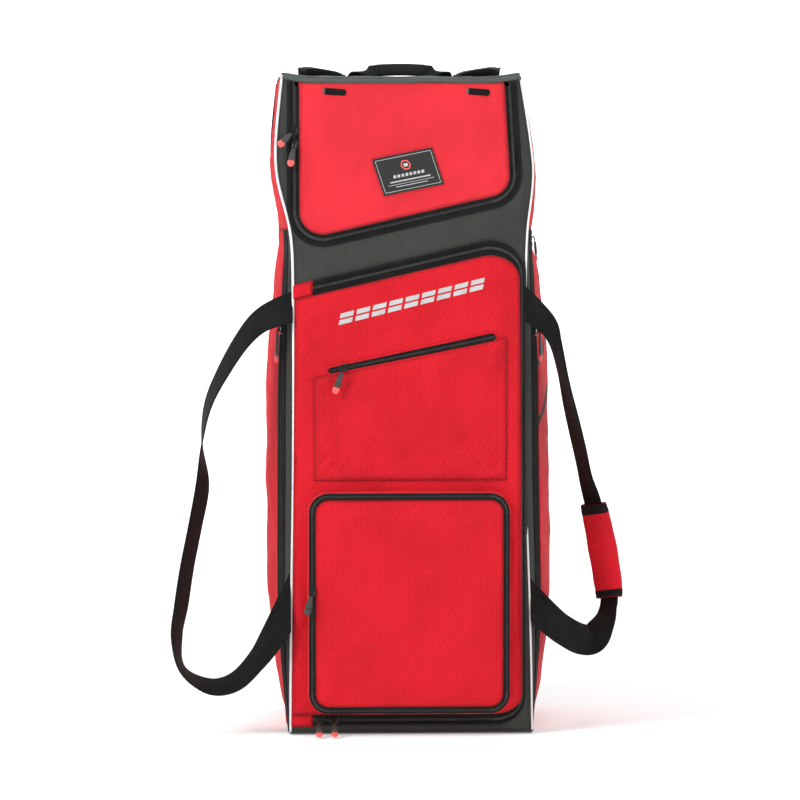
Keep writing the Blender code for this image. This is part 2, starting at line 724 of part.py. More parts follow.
# ---------------------------------------------------------------- handles and straps
# Each row is x, y, z, the twist in degrees about the route, and the width.
LEFT_HANDLE_ROUTE = (
    (-0.1500, -0.1615, 0.6160, 0, 0.043),
    (-0.2043, -0.1610, 0.5960, 40, WEBBING_WIDTH),
    (-0.2350, -0.1580, 0.5670, 58, WEBBING_WIDTH),
    (-0.2656, -0.1530, 0.5178, 68, WEBBING_WIDTH),
    (-0.2870, -0.1480, 0.4700, 77, WEBBING_WIDTH),
    (-0.2955, -0.1450, 0.4150, 91, WEBBING_WIDTH),
    (-0.2950, -0.1450, 0.3560, 115, WEBBING_WIDTH),
    (-0.3060, -0.1460, 0.2950, 116, WEBBING_WIDTH),
    (-0.3170, -0.1480, 0.2400, 116, WEBBING_WIDTH),
    (-0.3255, -0.1500, 0.1850, 116, WEBBING_WIDTH),
    (-0.3320, -0.1520, 0.1400, 110, WEBBING_WIDTH),
    (-0.3240, -0.1540, 0.0940, 99, WEBBING_WIDTH),
    (-0.2860, -0.1560, 0.0700, 113, WEBBING_WIDTH),
    (-0.2500, -0.1590, 0.0760, 121, WEBBING_WIDTH),
    (-0.2200, -0.1610, 0.1050, 125, WEBBING_WIDTH),
    (-0.1940, -0.1640, 0.1440, 140, WEBBING_WIDTH),
    (-0.1500, -0.1640, 0.2250, 165, WEBBING_WIDTH),
)
RIGHT_HANDLE_ROUTE = (
    (0.1500, -0.1615, 0.6260, 0, 0.043),
    (0.1920, -0.1690, 0.5900, 25, 0.034),
    (0.2070, -0.1660, 0.5600, 62, 0.034),
    (0.2200, -0.1450, 0.5150, 76, 0.042),
    (0.2345, -0.1120, 0.4600, 72, WEBBING_WIDTH),
    (0.2480, -0.0840, 0.4100, 70, WEBBING_WIDTH),
    (0.2600, -0.0660, 0.3620, 66, 0.040),
    (0.2720, -0.0575, 0.3208, 42, GRIP_WEBBING),
    (0.2830, -0.0545, 0.2720, 30, GRIP_WEBBING),
    (0.2920, -0.0550, 0.2200, 30, GRIP_WEBBING),
    (0.2955, -0.0590, 0.1850, 42, GRIP_WEBBING),
    (0.2915, -0.0680, 0.1660, 58, 0.038),
    (0.2810, -0.0850, 0.1470, 40, 0.042),
    (0.2680, -0.1020, 0.1300, 15, 0.044),
    (0.2500, -0.1220, 0.1310, 15, WEBBING_WIDTH),
    (0.2290, -0.1400, 0.1420, 22, WEBBING_WIDTH),
    (0.2020, -0.1575, 0.1630, 22, WEBBING_WIDTH),
    (0.1500, -0.1620, 0.2150, 15, WEBBING_WIDTH),
)
SHOULDER_ROUTE = (
    (0.112, 0.112, 0.9462, 0, 0.056),
    (0.114, 0.150, 0.9470, 0, 0.058),
    (0.115, 0.1675, 0.9455, 0, 0.059),
    (0.115, 0.1725, 0.9280, 0, 0.060),
    (0.114, 0.1760, 0.8900, 0, 0.062),
    (0.108, 0.182, 0.7900, 0, 0.064),
    (0.104, 0.185, 0.6500, 0, 0.062),
    (0.112, 0.180, 0.5200, 0, 0.052),
    (0.120, 0.172, 0.4400, 0, 0.036),
    (0.122, 0.169, 0.3900, 0, 0.026),
    (0.122, 0.168, 0.2400, 0, 0.025),
    (0.122, 0.168, 0.0600, 0, 0.025),
)
SHOULDER_THICK = 0.010
HANDLE_LOW, HANDLE_HIGH = 0.170, 0.600  # where the side handles are sewn into the front seams


def trim_at_seam(obj, side):
    """Cuts a handle's two ends off upright, just outside the seam that holds them."""
    for low, high in ((0.0, 0.4), (0.4, 0.8)):
        middle = HANDLE_LOW if high < 0.5 else HANDLE_HIGH
        seam = edge_x(middle, side) + side * (PIPING_RADIUS + 0.0008)
        limits = sorted((seam, side * 0.05))
        cut(obj, slab(limits, (-0.25, -0.10), (low, high)))


def make_handles(looks):
    pivot("left_handle", (-0.1690, FRONT, 0.40), (0, 0, -1))
    solid = ribbon(smooth_route(LEFT_HANDLE_ROUTE, ROUTE_STEPS), WEBBING_THICK)
    webbing = finish("left_handle_webbing", solid, looks["black"], "left_handle", smooth=True)
    trim_at_seam(webbing, -1)
    pivot("right_handle", (0.1710, FRONT, 0.40), (0, 0, 1))
    route = smooth_route(RIGHT_HANDLE_ROUTE, ROUTE_STEPS)
    solid = ribbon(route, WEBBING_THICK)
    webbing = finish("right_handle_webbing", solid, looks["black"], "right_handle", smooth=True)
    trim_at_seam(webbing, 1)
    first, last = (row * ROUTE_STEPS for row in GRIP_ROWS)
    solid = sleeve(route[first : last + 1], GRIP_OUTER, GRIP_SLOT)
    finish("grip_wrap", solid, looks["red"], "right_handle", smooth=True)

    pivot("haul_handle", (0, 0.152, BODY_HEIGHT + 0.005), (-1, 0, 0))
    low = BODY_HEIGHT + GAP + 0.0015
    top = low + 0.006
    bm = bmesh.new()
    arch = [
        (-0.070, 0.152), (-0.070, 0.110), (-0.058, 0.098), (0.058, 0.098), (0.070, 0.110),
        (0.070, 0.152), (0.042, 0.152), (0.042, 0.126), (-0.042, 0.126), (-0.042, 0.152),
    ]
    layers = [[bm.verts.new((x, y, z)) for x, y in arch] for z in (low, top)]
    bm.faces.new(layers[0])
    bm.faces.new(layers[1][::-1])
    for n in range(len(arch)):
        m = (n + 1) % len(arch)
        bm.faces.new((layers[0][n], layers[1][n], layers[1][m], layers[0][m]))
    finish("haul_handle_loop", bm, looks["black"], "haul_handle")


def make_back_straps(looks):
    for side, word in ((-1, "left"), (1, "right")):
        rows = [(side * x, *rest) for x, *rest in SHOULDER_ROUTE]
        route = smooth_route(rows, ROUTE_STEPS)
        strap = ribbon(route, SHOULDER_THICK, (1, 0, 0))
        finish(word + "_shoulder_strap", strap, looks["black"], smooth=True)


def main():
    clear_scene()
    looks = {
        "red": material("red_fabric", (0.73, 0.013, 0.026)),
        "grey": material("grey_fabric", (0.085, 0.095, 0.088)),
        "black": material("black_webbing", (0.008, 0.008, 0.008)),
        "white": material("white_piping", (0.85, 0.85, 0.85), 0.6),
        "lining": material("black_lining", (0.02, 0.02, 0.02)),
        "board": material("stiffener_board", (0.03, 0.03, 0.03), 0.5),
        "metal": material("black_slider", (0.02, 0.02, 0.02), 0.35, 0.6),
        "pull": material("pull_rubber", (0.05, 0.055, 0.05), 0.5),
    }
    make_front(looks)
    make_end_tabs(looks)
    make_shell(looks)
    make_flap(looks)
    make_door(looks)
    make_zip_pulls(looks)
    make_handles(looks)
    make_back_straps(looks)


main()
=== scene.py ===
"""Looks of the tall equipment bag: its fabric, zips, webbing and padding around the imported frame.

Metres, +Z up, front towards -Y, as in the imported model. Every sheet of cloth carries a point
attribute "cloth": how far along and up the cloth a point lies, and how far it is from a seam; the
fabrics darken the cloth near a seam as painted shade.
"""

import math

import bmesh
import bpy
import numpy as np
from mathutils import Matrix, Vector, noise


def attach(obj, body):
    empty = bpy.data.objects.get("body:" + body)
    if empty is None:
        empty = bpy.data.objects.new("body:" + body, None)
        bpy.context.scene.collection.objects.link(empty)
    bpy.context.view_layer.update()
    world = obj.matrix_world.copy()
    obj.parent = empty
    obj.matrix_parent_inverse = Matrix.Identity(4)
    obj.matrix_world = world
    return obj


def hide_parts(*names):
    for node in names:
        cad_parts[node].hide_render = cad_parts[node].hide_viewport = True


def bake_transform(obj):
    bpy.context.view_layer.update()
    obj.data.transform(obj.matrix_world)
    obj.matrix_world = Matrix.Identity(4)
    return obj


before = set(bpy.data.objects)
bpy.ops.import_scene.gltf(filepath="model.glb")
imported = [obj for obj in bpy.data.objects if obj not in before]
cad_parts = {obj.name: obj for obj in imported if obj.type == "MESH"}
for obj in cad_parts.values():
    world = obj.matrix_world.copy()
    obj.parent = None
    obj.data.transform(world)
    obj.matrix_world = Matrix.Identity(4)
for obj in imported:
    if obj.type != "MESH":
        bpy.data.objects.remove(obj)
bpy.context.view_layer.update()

# ---------------------------------------------------------------- sizes, as in the CAD source
BODY_HEIGHT, BODY_DEPTH = 0.940, 0.320
PANEL, LINING, GAP = 0.003, 0.002, 0.0004
LEFT_PIPING, RIGHT_PIPING, WEBBING_THICK = 0.0019, 0.0015, 0.0022
ZIP_SLOPE, MID_SLOPE = 0.230, 0.205
FRONT, BACK = -BODY_DEPTH / 2, BODY_DEPTH / 2
SKIN_IN = FRONT + PANEL
EDGE_PROFILE = (
    (0.000, 0.1730, 0.003), (0.150, 0.1710, 0.002), (0.400, 0.1655, 0.000),
    (0.660, 0.1660, 0.000), (0.720, 0.1690, -0.001), (0.796, 0.1820, -0.006),
    (0.850, 0.1805, -0.009), (0.940, 0.1690, -0.012),
)
SWELL_PROFILE = (
    (0.000, 0.002), (0.060, 0.014), (0.130, 0.025), (0.220, 0.033), (0.490, 0.036),
    (0.640, 0.024), (0.720, 0.013), (0.834, 0.005), (0.940, 0.001),
)
SWELL_POWER = 0.6
GUSSET_DEPTH, SIDE_ZIP_DEPTH = 0.010, 0.026
SIDE_SPLIT, TOP_ZIP_HEIGHT = 0.720, 0.026
FLAP_LEFT, FLAP_RIGHT_TOP, FLAP_RIGHT_LOW = -0.157, 0.135, 0.1445
FLAP_TOP, FLAP_LOW_LEFT, FLAP_LOW_RIGHT = 0.930, 0.7047, 0.7733
FLAP_RADII = (0.0, 0.034, 0.032, 0.0)
FLAP_ZIP = 0.0126
DOOR_LEFT, DOOR_RIGHT, DOOR_BOTTOM, DOOR_TOP_LEFT = -0.1625, 0.1500, 0.0285, 0.6220
DOOR_RADIUS_TOP, DOOR_RADIUS_LOW = 0.036, 0.030
MAIN_ZIP_TOP, MAIN_ZIP_RIGHT, MAIN_ZIP_LOW = 0.0200, 0.0110, 0.0150
ZIP_START = -0.1375
MID_LEFT, MID_RIGHT, MID_LOW, MID_TOP_LEFT = -0.1370, 0.1440, 0.3640, 0.5105
MID_SLIDER_X, MID_POCKET_DEPTH, MID_ZIP = -0.095, 0.010, 0.0105
LOW_LEFT, LOW_RIGHT, LOW_LOW, LOW_TOP = -0.1440, 0.1417, 0.0330, 0.3470
LOW_RADIUS, LOW_DEPTH, LOW_BAND, LOW_PROUD = 0.028, 0.024, 0.0085, 0.001
DIVIDER_HEIGHT, LINING_X = 0.705, 0.1540
SLIDER_LENGTH, SLIDER_WIDTH, SLIDER_HEIGHT = 0.0140, 0.0100, 0.0060
PULL_WIDTH, PULL_THICK, EYE_CLEAR = 0.0085, 0.0030, 0.0008
FLOOR_LIE = (0, -0.899, -0.4375)
LABEL_SIZE, LABEL_CENTRE, LABEL_TILT, LABEL_LEAN = (0.087, 0.053), (-0.0025, 0.803), math.radians(11.4), 1.65
SIDE_LOW, SIDE_HIGH = PANEL + GAP, BODY_HEIGHT - PANEL - GAP
SIDE_NEAR, SIDE_FAR = SKIN_IN + GAP, BACK - PANEL - GAP

# ---------------------------------------------------------------- sizes of the cloth itself
FRONT_OUT = np.array([0.0, -1.0, 0.0])
SHEET_THICK, SIDE_THICK = 0.0022, 0.0020
SEAMLESS = 0.02  # the distance to a seam that a piece without one gives to its material
HELD = 0.002  # what lies closer than this to a seam is held as the cloth settles
DOOR_BULGE, TEETH_SHIFT, TAPE_SHIFT, INNER_SHIFT = 0.0076, 0.0044, 0.0030, 0.0060
TOOTH_PITCH, STITCH, STITCH_GAP = 0.0022, 0.0030, 0.0014


# ---------------------------------------------------------------- curves and outlines
def along_rows(rows, height, column):
    """A smooth curve through a profile's rows at this height."""
    height = min(max(height, rows[0][0]), rows[-1][0])
    last = len(rows) - 1
    i = next(n for n in range(last) if height <= rows[n + 1][0])

    def slope(n):
        a, b = rows[max(n - 1, 0)], rows[min(n + 1, last)]
        return (b[column] - a[column]) / (b[0] - a[0])

    span = rows[i + 1][0] - rows[i][0]
    t = (height - rows[i][0]) / span
    start, end = rows[i][column], rows[i + 1][column]
    return (
        start * (2 * t**3 - 3 * t**2 + 1) + end * (3 * t**2 - 2 * t**3)
        + span * (slope(i) * (t**3 - 2 * t**2 + t) + slope(i + 1) * (t**3 - t**2))
    )


def edge_x(height, side, inset=0.0):
    half = along_rows(EDGE_PROFILE, height, 1)
    return along_rows(EDGE_PROFILE, height, 2) + side * (half - inset)


def moved_corners(corners, distances):
    lines = []
    for n, (x, z) in enumerate(corners):
        nx, nz = corners[(n + 1) % len(corners)]
        along = Vector((nx - x, nz - z)).normalized()
        lines.append((Vector((x, z)) + Vector((along.y, -along.x)) * distances[n], along))
    moved = []
    for n in range(len(corners)):
        (p, u), (q, v) = lines[n - 1], lines[n]
        moved.append(tuple(p + u * ((q - p).cross(v) / u.cross(v))))
    return moved


def rounded(corners, radii, steps=14):
    points = []
    for n, corner in enumerate(corners):
        corner = Vector(corner)
        if radii[n] <= 0:
            points.append(tuple(corner))
            continue
        before = (Vector(corners[n - 1]) - corner).normalized()
        after = (Vector(corners[(n + 1) % len(corners)]) - corner).normalized()
        half = before.angle(after) / 2
        centre = corner + (before + after).normalized() * radii[n] / math.sin(half)
        start = corner + before * radii[n] / math.tan(half) - centre
        turn = (math.pi - 2 * half) * (1 if before.cross(after) < 0 else -1)
        for k in range(steps + 1):
            a = turn * k / steps
            x = start.x * math.cos(a) - start.y * math.sin(a)
            y = start.x * math.sin(a) + start.y * math.cos(a)
            points.append((centre.x + x, centre.y + y))
    return points


def flap_outline(out, top=0.0):
    corners = [
        (FLAP_LEFT, FLAP_TOP), (FLAP_LEFT, FLAP_LOW_LEFT),
        (FLAP_RIGHT_LOW, FLAP_LOW_RIGHT), (FLAP_RIGHT_TOP, FLAP_TOP),
    ]
    moved = moved_corners(corners, (out, out, out, top))
    return rounded(moved, [r + out if r else 0 for r in FLAP_RADII])


def door_outline(share, left, extra=0.0):
    top_right = DOOR_TOP_LEFT + ZIP_SLOPE * (DOOR_RIGHT - DOOR_LEFT)
    corners = [
        (DOOR_LEFT, DOOR_TOP_LEFT), (DOOR_LEFT, DOOR_BOTTOM),
        (DOOR_RIGHT, DOOR_BOTTOM), (DOOR_RIGHT, top_right),
    ]
    right = MAIN_ZIP_RIGHT * share + extra
    grown = (DOOR_LEFT - left, MAIN_ZIP_LOW * share + extra, right, MAIN_ZIP_TOP * share + extra)
    moved = moved_corners(corners, grown)
    return rounded(moved, (0, 0, DOOR_RADIUS_LOW + right, DOOR_RADIUS_TOP + right))


def reach(points, far):
    """Lines of the door drawn out at the right, where its cloth bulges over the inner tape."""
    points = np.array(points, float)
    low = 1 + 0.5 * smoothstep(0.35, 0.08, points[:, 1])
    points[:, 0] += far * low * smoothstep(0.110, DOOR_RIGHT, points[:, 0])
    return points


def low_outline(inset):
    left, right = LOW_LEFT + inset, LOW_RIGHT - inset
    low, top = LOW_LOW + inset, LOW_TOP - inset
    return rounded(
        [(left, top), (left, low), (right, low), (right, top)], [LOW_RADIUS - inset] * 4
    )


def side_point(side, depth, height):
    half = BODY_DEPTH / 2 - PANEL
    t = min(abs(depth / half), 1.0)
    swell = along_rows(SWELL_PROFILE, height, 1) * (1 - t * t) ** SWELL_POWER
    return Vector((edge_x(height, side) + side * swell, depth, height))


def side_normal(side, depth, height):
    d = 0.002
    half = BODY_DEPTH / 2 - PANEL - d
    depth = min(max(depth, -half), half)
    along = side_point(side, depth + d, height) - side_point(side, depth - d, height)
    up = side_point(side, depth, height + d) - side_point(side, depth, height - d)
    return (along.cross(up) * side).normalized()


def smooth_route(points, steps):
    rows = [points[0], *points, points[-1]]
    route = []
    for n in range(1, len(rows) - 2):
        for k in range(steps):
            t = k / steps
            route.append(
                tuple(
                    0.5 * (2 * b + (c - a) * t + (2 * a - 5 * b + 4 * c - d) * t * t
                           + (3 * b - a - 3 * c + d) * t**3)
                    for a, b, c, d in zip(*rows[n - 1 : n + 3])
                )
            )
    return np.array(route + [tuple(points[-1])])


def run_lengths(points):
    """How far along a polyline each of its points lies."""
    return np.concatenate([[0], np.cumsum(np.linalg.norm(np.diff(points, axis=0), axis=1))])


def resample(points, step, closed=False):
    """Points evenly spaced along a polyline."""
    points = np.asarray(points, float)
    if closed:
        points = np.vstack([points, points[:1]])
    lengths = run_lengths(points)
    count = max(2, round(lengths[-1] / step)) + 1
    wanted = np.linspace(0, lengths[-1], count)
    made = np.stack([np.interp(wanted, lengths, c) for c in points.T], axis=1)
    return made[:-1] if closed else made


def tangents(points, closed=False):
    if closed:
        along = np.roll(points, -1, axis=0) - np.roll(points, 1, axis=0)
    else:
        along = np.gradient(points, axis=0)
    return along / np.maximum(np.linalg.norm(along, axis=1, keepdims=True), 1e-9)


def outward(path, closed=False):
    """Outward normals of a counter-clockwise line in the XZ plane."""
    along = tangents(path, closed)
    return stacked(along[:, 1], -along[:, 0])


def unit(v):
    v = np.asarray(v, float)
    return v / np.maximum(np.linalg.norm(v, axis=-1, keepdims=True), 1e-12)


def stacked(*parts):
    """Arrays and numbers as the last axis of one array."""
    return np.stack(np.broadcast_arrays(*parts), axis=-1)


def smoothstep(low, high, x):
    t = np.clip((x - low) / (high - low), 0, 1)
    return t * t * (3 - 2 * t)


def ripples(u, v, seed, scale=0.05, stretch=(1.0, 1.0)):
    """Soft cloth folds between about -1 and 1, the same on every run."""
    flat_u, flat_v = np.ravel(u) / scale * stretch[0], np.ravel(v) / scale * stretch[1]
    values = [noise.fractal(Vector((a, b, seed * 7.3)), 0.7, 2.1, 3) for a, b in zip(flat_u, flat_v)]
    return np.array(values).reshape(np.shape(u)) * 1.4


# ---------------------------------------------------------------- building meshes
class Piece:
    """Gathers closed surfaces into one mesh object."""

    def __init__(self, name):
        self.name, self.points, self.cloth, self.faces, self.looks = name, [], [], [], []
        self.count = 0

    def add(self, points, faces, cloth=None, look=0):
        points = np.asarray(points, float).reshape(-1, 3)
        if cloth is None:
            cloth = stacked(points[:, 0], points[:, 2], SEAMLESS)
        self.points.append(points)
        self.cloth.append(np.asarray(cloth, float).reshape(-1, 3))
        self.faces += [tuple(int(i) + self.count for i in face) for face in faces]
        self.looks += [look] * len(faces)
        self.count += len(points)
        return self

    def make(self, body, looks, slot, replaces=(), crisp=None):
        mesh = bpy.data.meshes.new(self.name)
        mesh.from_pydata(np.vstack(self.points).tolist(), [], self.faces)
        looks = looks if isinstance(looks, (list, tuple)) else [looks]
        for look in looks:
            mesh.materials.append(look)
        mesh.polygons.foreach_set("material_index", self.looks)
        held = mesh.attributes.new("cloth", "FLOAT_VECTOR", "POINT")
        held.data.foreach_set("vector", np.vstack(self.cloth).astype(np.float32).ravel())
        turned = bmesh.new()
        turned.from_mesh(mesh)
        bmesh.ops.recalc_face_normals(turned, faces=turned.faces)
        turned.to_mesh(mesh)
        turned.free()
        mesh.polygons.foreach_set("use_smooth", [True] * len(mesh.polygons))
        if crisp:
            mesh.set_sharp_from_angle(angle=math.radians(crisp))
        mesh.update()
        obj = bpy.data.objects.new(self.name, mesh)
        bpy.context.scene.collection.objects.link(obj)
        if body:
            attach(obj, body)
        if replaces:
            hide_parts(*replaces)
        return obj


def grid_faces(rows, columns, base=0):
    i, j = np.meshgrid(np.arange(rows - 1), np.arange(columns - 1), indexing="ij")
    a = (base + i * columns + j).ravel()
    return stacked(a, a + 1, a + columns + 1, a + columns).tolist()


def grid_normals(grid, out):
    """Unit normals of a grid of points, on the side that out points to."""
    across, up = np.gradient(grid, axis=0), np.gradient(grid, axis=1)
    normals = unit(np.cross(across, up))
    return normals if (normals * np.asarray(out)).sum() > 0 else -normals


def shell(grid, thick, out, cloth):
    """Points, faces and cloth of a sheet with real thickness and a closed rim."""
    rows, columns = grid.shape[:2]
    inner = grid - grid_normals(grid, out) * thick
    count = rows * columns
    faces = grid_faces(rows, columns) + [f[::-1] for f in grid_faces(rows, columns, count)]
    rim = [(0, j) for j in range(columns)]
    rim += [(i, columns - 1) for i in range(1, rows)]
    rim += [(rows - 1, j) for j in range(columns - 2, -1, -1)]
    rim += [(i, 0) for i in range(rows - 2, 0, -1)]
    rim = [i * columns + j for i, j in rim]
    faces += [(a, b, b + count, a + count) for a, b in zip(rim, rim[1:] + rim[:1])]
    flat = np.asarray(cloth, float).reshape(-1, 3)
    return np.vstack([grid.reshape(-1, 3), inner.reshape(-1, 3)]), faces, np.vstack([flat, flat])


def sweep(rings, closed=False):
    """Points, faces and cloth of a closed section swept through rings of points."""
    rings = np.asarray(rings, float)
    count, sides = rings.shape[:2]
    lengths = run_lengths(rings.mean(axis=1))
    around = np.linalg.norm(np.roll(rings[0], -1, axis=0) - rings[0], axis=1)
    around = np.concatenate([[0], np.cumsum(around)[:-1]])
    cloth = stacked(around[None], lengths[:, None], SEAMLESS)
    faces = []
    for i in range(count if closed else count - 1):
        k = (i + 1) % count
        for j in range(sides):
            m = (j + 1) % sides
            faces.append((i * sides + j, i * sides + m, k * sides + m, k * sides + j))
    if not closed:
        faces.append(tuple(range(sides)))
        faces.append(tuple((count - 1) * sides + j for j in reversed(range(sides))))
    return rings.reshape(-1, 3), faces, cloth.reshape(-1, 3)


def tube(points, radius, sides=10, closed=False):
    points = np.asarray(points, float)
    along = tangents(points, closed)
    guide = np.array([0.13, 0.92, 0.37])
    first = unit(np.cross(along, guide))
    second = np.cross(along, first)
    a = np.linspace(0, 2 * math.pi, sides, endpoint=False)
    radius = np.broadcast_to(radius, (len(points),))[:, None, None]
    rings = points[:, None] + radius * (
        np.cos(a)[None, :, None] * first[:, None] + np.sin(a)[None, :, None] * second[:, None]
    )
    return sweep(rings, closed)


def beads(centres, long, wide, high):
    """Small pointed ellipsoids, one at each centre, with these half axes. Stitches and teeth."""
    centres, long, wide, high = (np.atleast_2d(np.asarray(a, float)) for a in (centres, long, wide, high))
    count = len(centres)
    long, wide, high = (np.broadcast_to(a, (count, 3)) for a in (long, wide, high))
    corners = [centres - long]
    for share in (-0.55, 0.55):
        for s, t in ((1, 0), (0, 1), (-1, 0), (0, -1)):
            corners.append(centres + long * share + wide * s + high * t)
    corners.append(centres + long)
    points = np.stack(corners, axis=1)
    ring = [(0, 1 + (k + 1) % 4, 1 + k) for k in range(4)]
    ring += [(1 + k, 1 + (k + 1) % 4, 5 + (k + 1) % 4, 5 + k) for k in range(4)]
    ring += [(5 + k, 5 + (k + 1) % 4, 9) for k in range(4)]
    faces = [tuple(i + n * 10 for i in face) for n in range(count) for face in ring]
    return points.reshape(-1, 3), faces


def stitches(points, out, length=STITCH, gap=STITCH_GAP, thick=0.00042):
    """Thread along a line in space, as separate stitches that lie on a surface facing out."""
    line = resample(points, length + gap)
    along = tangents(line)
    out = np.broadcast_to(np.asarray(out, float), line.shape) if np.ndim(out) == 1 else out
    if len(out) != len(line):
        out = np.repeat(out[:1], len(line), axis=0)
    wide = unit(np.cross(along, out))
    return beads(line + out * thick * 0.3, along * length / 2, wide * thick, unit(out) * thick)


def nearest(points, outline):
    """The nearest place on an outline to each point of the XZ plane, and how far it is."""
    best, where = np.full(len(points), 1e9), np.array(points, float)
    outline = np.asarray(outline, float)
    for p, q in zip(outline, np.roll(outline, -1, axis=0)):
        d = q - p
        t = np.clip(((points - p) @ d) / max(d @ d, 1e-12), 0, 1)
        spot = p + t[:, None] * d
        far = np.linalg.norm(points - spot, axis=1)
        where[far < best] = spot[far < best]
        best = np.minimum(best, far)
    return where, best


def outline_distance(x, z, outline):
    """How far each place of the XZ plane is from an outline."""
    return nearest(stacked(np.ravel(x), np.ravel(z)), outline)[1].reshape(np.shape(x))


def settle(grid, held, pressure=2.0, grow=0.012, cap=0.006, frames=20, bend=0.4):
    """Lets a sheet swell and wrinkle as cloth, held where its seams are, and returns its points."""
    rows, columns = grid.shape[:2]
    mesh = bpy.data.meshes.new("settling")
    mesh.from_pydata(grid.reshape(-1, 3).tolist(), [], grid_faces(rows, columns))
    obj = bpy.data.objects.new("settling", mesh)
    bpy.context.scene.collection.objects.link(obj)
    group = obj.vertex_groups.new(name="seam")
    group.add(np.flatnonzero(np.ravel(held)).tolist(), 1.0, "REPLACE")
    cloth = obj.modifiers.new("Cloth", "CLOTH")
    rules = cloth.settings
    rules.quality, rules.mass = 4, 0.12
    rules.tension_stiffness = rules.compression_stiffness = rules.shear_stiffness = 8
    rules.bending_stiffness = bend
    rules.vertex_group_mass = "seam"
    rules.use_pressure = True
    rules.uniform_pressure_force = pressure
    rules.shrink_min = rules.shrink_max = -grow
    rules.effector_weights.gravity = 0
    cloth.collision_settings.use_self_collision = False
    cloth.point_cache.frame_start, cloth.point_cache.frame_end = 1, frames
    for step in range(1, frames + 1):
        bpy.context.scene.frame_set(step)
    seen = obj.evaluated_get(bpy.context.evaluated_depsgraph_get()).to_mesh()
    points = np.empty(rows * columns * 3)
    seen.vertices.foreach_get("co", points)
    bpy.data.objects.remove(obj)
    bpy.data.meshes.remove(mesh)
    bpy.context.scene.frame_set(1)
    moved = points.reshape(grid.shape) - grid
    size = np.linalg.norm(moved, axis=2, keepdims=True)
    return grid + moved * np.minimum(1, cap / np.maximum(size, 1e-9)) * np.tanh(size / cap + 0.2)


class Sheet:
    """A crowned panel inside a convex outline of the XZ plane, which can be asked for its surface."""

    def __init__(self, outline, plane, crown, reach, step=0.005, shape=0.6):
        self.outline = np.asarray(outline, float)
        loop = np.vstack([self.outline, self.outline[:1]])
        low, high = self.outline[:, 0].min() + 1e-6, self.outline[:, 0].max() - 1e-6
        count = round((high - low) / step)
        t = np.linspace(0, 1, count + 1)
        self.xs = low + (high - low) * (0.5 * t + 0.25 * (1 - np.cos(math.pi * t)))
        self.lows, self.highs = [], []
        for x in self.xs:
            crossed = []
            for (ax, az), (bx, bz) in zip(loop, loop[1:]):
                if (ax - x) * (bx - x) <= 0 and ax != bx:
                    crossed.append(az + (bz - az) * (x - ax) / (bx - ax))
            self.lows.append(min(crossed))
            self.highs.append(max(crossed))
        self.lows, self.highs = np.array(self.lows), np.array(self.highs)
        tall = self.outline[:, 1].max() - self.outline[:, 1].min()
        self.share = np.linspace(0, 1, round(tall / step) + 1)
        z = self.lows[:, None] + (self.highs - self.lows)[:, None] * self.share
        x = np.repeat(self.xs[:, None], len(self.share), axis=1)
        self.x, self.z = x, z
        self.seam = outline_distance(x, z, outline)
        t = np.clip(self.seam / reach, 0, 1)
        rise = crown * (1 - (1 - t) ** 2) ** shape
        self.grid = stacked(x, plane - rise, z)

    def settle(self, **how):
        self.grid = settle(self.grid, self.seam < HELD, **how)

    def at(self, x, z):
        """The sheet's Y at places of the XZ plane."""
        x, z = np.broadcast_arrays(np.asarray(x, float), np.asarray(z, float))
        i = np.clip(np.searchsorted(self.xs, x) - 1, 0, len(self.xs) - 2)
        s = np.clip((x - self.xs[i]) / (self.xs[i + 1] - self.xs[i]), 0, 1)
        low = self.lows[i] * (1 - s) + self.lows[i + 1] * s
        high = self.highs[i] * (1 - s) + self.highs[i + 1] * s
        v = np.clip((z - low) / (high - low), 0, 1) * (len(self.share) - 1)
        j = np.clip(v.astype(int), 0, len(self.share) - 2)
        t = v - j
        y = self.grid[..., 1]
        return (
            (y[i, j] * (1 - t) + y[i, j + 1] * t) * (1 - s)
            + (y[i + 1, j] * (1 - t) + y[i + 1, j + 1] * t) * s
        )

    def on(self, line, proud=0.0003):
        """A line of the XZ plane laid on the sheet, and the sheet's normals along it."""
        line = np.asarray(line, float)
        d = 0.002
        y = self.at(line[:, 0], line[:, 1])
        sx = (self.at(line[:, 0] + d, line[:, 1]) - self.at(line[:, 0] - d, line[:, 1])) / (2 * d)
        sz = (self.at(line[:, 0], line[:, 1] + d) - self.at(line[:, 0], line[:, 1] - d)) / (2 * d)
        out = unit(stacked(sx, -1.0, sz))
        return stacked(line[:, 0], y, line[:, 1]) + out * proud, out

    def part(self, thick=SHEET_THICK, out=(0, -1, 0)):
        return shell(self.grid, thick, out, stacked(self.x, self.z, self.seam))


